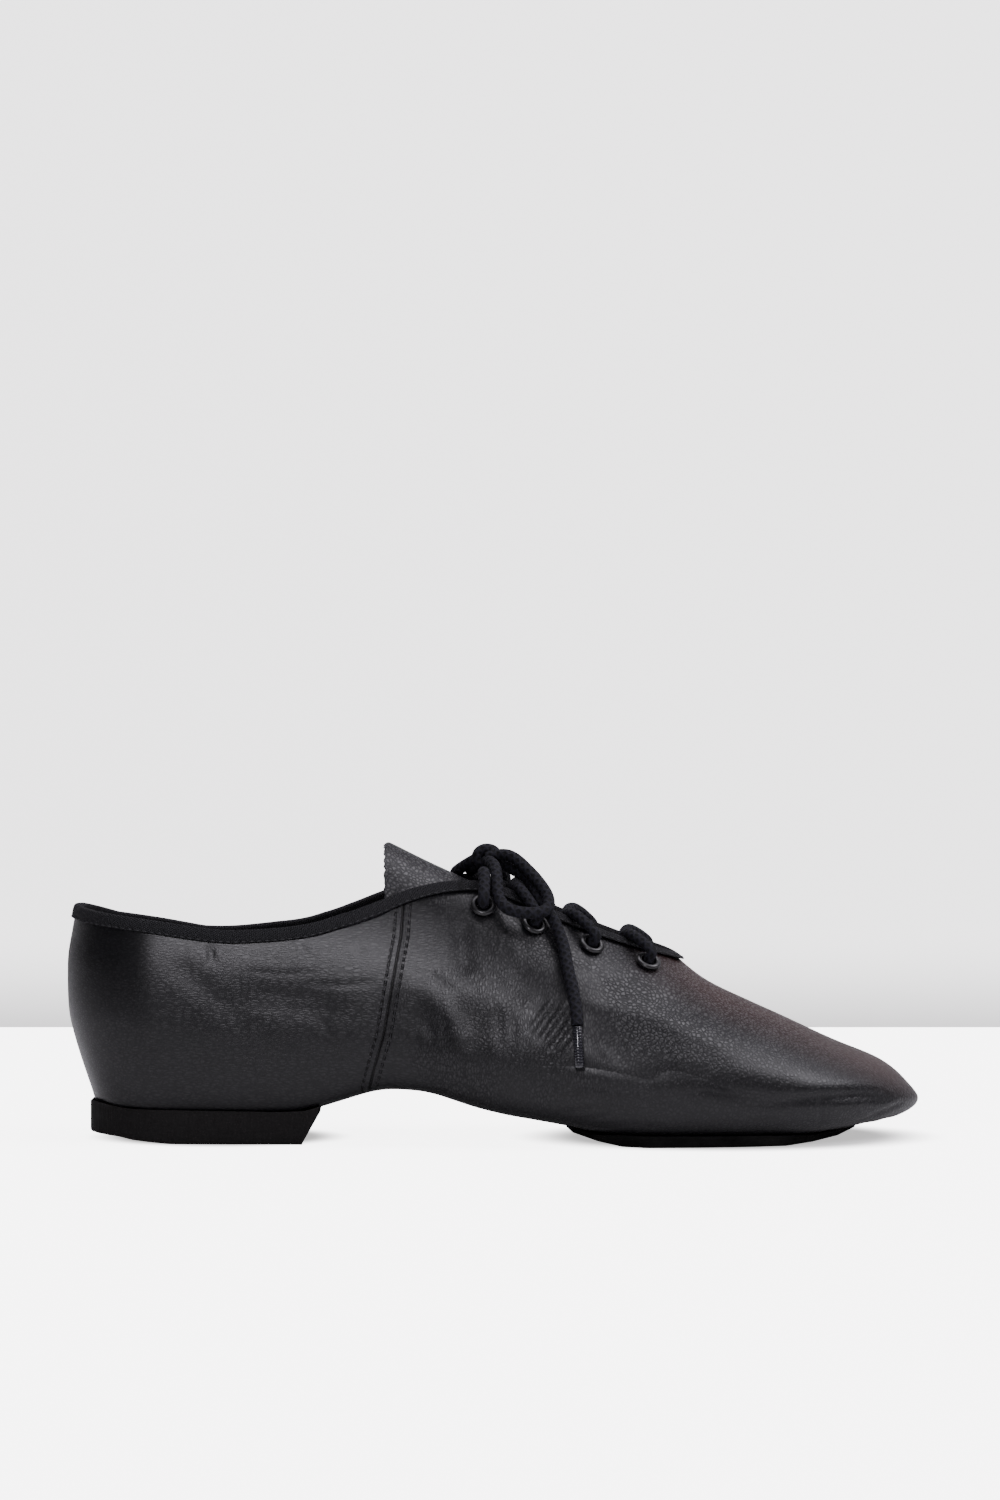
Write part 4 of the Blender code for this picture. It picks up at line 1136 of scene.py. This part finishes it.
class JAZZSHOE_OT_lacing(bpy.types.Operator):
    """The lace through the eyelets, from the bar under the lowest pair up to the top pair"""

    bl_idname = "jazzshoe.lacing"
    bl_label = "Lacing"

    def execute(self, context):
        width = context.scene.jazz_sizes.lace_width * 0.92
        braid = bpy.data.materials["braided_lace"]
        bm = bmesh.new()
        half = len(BAR) // 2
        for word, side in SIDES:
            start = BAR[:half][::-1] if side < 0 else BAR[half:]
            route = [Vector(p) for p in metres(start)]
            here, word_here = 4, word
            for strand in CROSSINGS[word]:
                route += self.through(f"eyelet_{word_here}_{here}")
                route += [Vector(p) for p in metres(strand)]
                here -= 1
                word_here = "inner" if word_here == "outer" else "outer"
            route += self.through(f"eyelet_{word_here}_{here}")
            add_cord(bm, smooth_run(route, 0.9 * MM), width)
        names = ("lace_bar", "lace_crossing_1", "lace_crossing_2", "lace_crossing_3")
        show_closed("lacing", bm, braid, "lace_cord", names)
        return {"FINISHED"}

    def through(self, name):
        """Points below, in and above an eyelet's hole."""
        centre, axis = ring_axes(name)
        return [centre + axis * (share * MM) for share in (-2.6, 0.0, 1.8)]


class JAZZSHOE_OT_ground(bpy.types.Operator):
    """Heel block and suede patch with eased edges, and the sock"""

    bl_idname = "jazzshoe.ground"
    bl_label = "Heel, sole and sock"

    def execute(self, context):
        colours = context.scene.jazz_colours
        rubber = rubber_finish(colours)
        heel = self.eased("heel", "heel_block", rubber, "heel_rubber", 0.35 * MM)
        spots, _ = corners(heel.data)
        x, z = spots[:, 0] / MM, spots[:, 2] / MM
        foot = np.clip(1 - z / 9.0, 0, 1)
        lift = np.interp(x, (-41, -38.4, -36, -32.4, -26.4, -17), (-1.3, 0, 0.8, 1.5, 0.9, 0))
        spots[:, 2] += lift * foot * MM
        spots[:, 0] -= np.interp(x, (-40.5, -36), (1.1, 0)) * MM
        heel.data.vertices.foreach_set("co", spots.ravel())
        suede = suede_finish("suede", colours.suede)
        self.eased("forefoot_sole", "suede_patch", suede, "sole_suede", 0.4 * MM)
        show("sock", softened("insole", 1), felt_finish(colours), "insole_fabric", ("insole",))
        return {"FINISHED"}

    def eased(self, node_name, name, finish, slot, ease):
        """A copy of the solid with its hard edges rounded."""
        bm = merged(node_name)
        bmesh.ops.dissolve_limit(
            bm, angle_limit=math.radians(1.0), verts=bm.verts, edges=bm.edges, use_dissolve_boundaries=False
        )
        for cut in range(-40, -14, 2) if node_name == "heel" else ():
            bmesh.ops.bisect_plane(
                bm, geom=bm.verts[:] + bm.edges[:] + bm.faces[:], dist=1e-5, plane_co=(cut * MM, 0, 0),
                plane_no=(1, 0, 0),
            )
        sharp = [e for e in bm.edges if len(e.link_faces) == 2 and e.calc_face_angle(0) > SHARP]
        bmesh.ops.bevel(
            bm, geom=sharp, offset=ease, offset_type="OFFSET", segments=3, profile=0.5, affect="EDGES",
            material=-1, clamp_overlap=True,
        )
        piece = show(name, to_mesh(bm, name), finish, slot, (node_name,))
        piece.data.set_sharp_from_angle(angle=SHARP)
        return piece


class JAZZSHOE_PT_panel(bpy.types.Panel):
    """Lists the shoe's sizes, colours and pieces"""

    bl_label = "Jazz shoe"
    bl_idname = "JAZZSHOE_PT_panel"
    bl_space_type = "VIEW_3D"
    bl_region_type = "UI"
    bl_category = "Jazz shoe"

    def draw(self, context):
        for group in (context.scene.jazz_sizes, context.scene.jazz_colours, context.scene.jazz_stage):
            box = self.layout.box()
            for key in group.bl_rna.properties.keys():
                if key not in ("rna_type", "name"):
                    box.prop(group, key)
        for operator in OPERATORS:
            self.layout.operator(operator.bl_idname)


OPERATORS = (
    JAZZSHOE_OT_stage,
    JAZZSHOE_OT_bow,
    JAZZSHOE_OT_upper,
    JAZZSHOE_OT_tongue,
    JAZZSHOE_OT_eyelets,
    JAZZSHOE_OT_lacing,
    JAZZSHOE_OT_ground,
)
GROUPS = (ShoeSizes, ShoeColours, StageLooks)


def register():
    for kind in GROUPS + OPERATORS + (JAZZSHOE_PT_panel,):
        bpy.utils.register_class(kind)
    bpy.types.Scene.jazz_sizes = bpy.props.PointerProperty(type=ShoeSizes)
    bpy.types.Scene.jazz_colours = bpy.props.PointerProperty(type=ShoeColours)
    bpy.types.Scene.jazz_stage = bpy.props.PointerProperty(type=StageLooks)


def unregister():
    del bpy.types.Scene.jazz_stage
    del bpy.types.Scene.jazz_colours
    del bpy.types.Scene.jazz_sizes
    for kind in reversed(GROUPS + OPERATORS + (JAZZSHOE_PT_panel,)):
        bpy.utils.unregister_class(kind)


def main():
    register()
    bpy.ops.jazzshoe.stage()
    bpy.ops.jazzshoe.bow()
    bpy.ops.jazzshoe.upper()
    bpy.ops.jazzshoe.tongue()
    bpy.ops.jazzshoe.eyelets()
    bpy.ops.jazzshoe.lacing()
    bpy.ops.jazzshoe.ground()


if __name__ == "__main__":
    main()
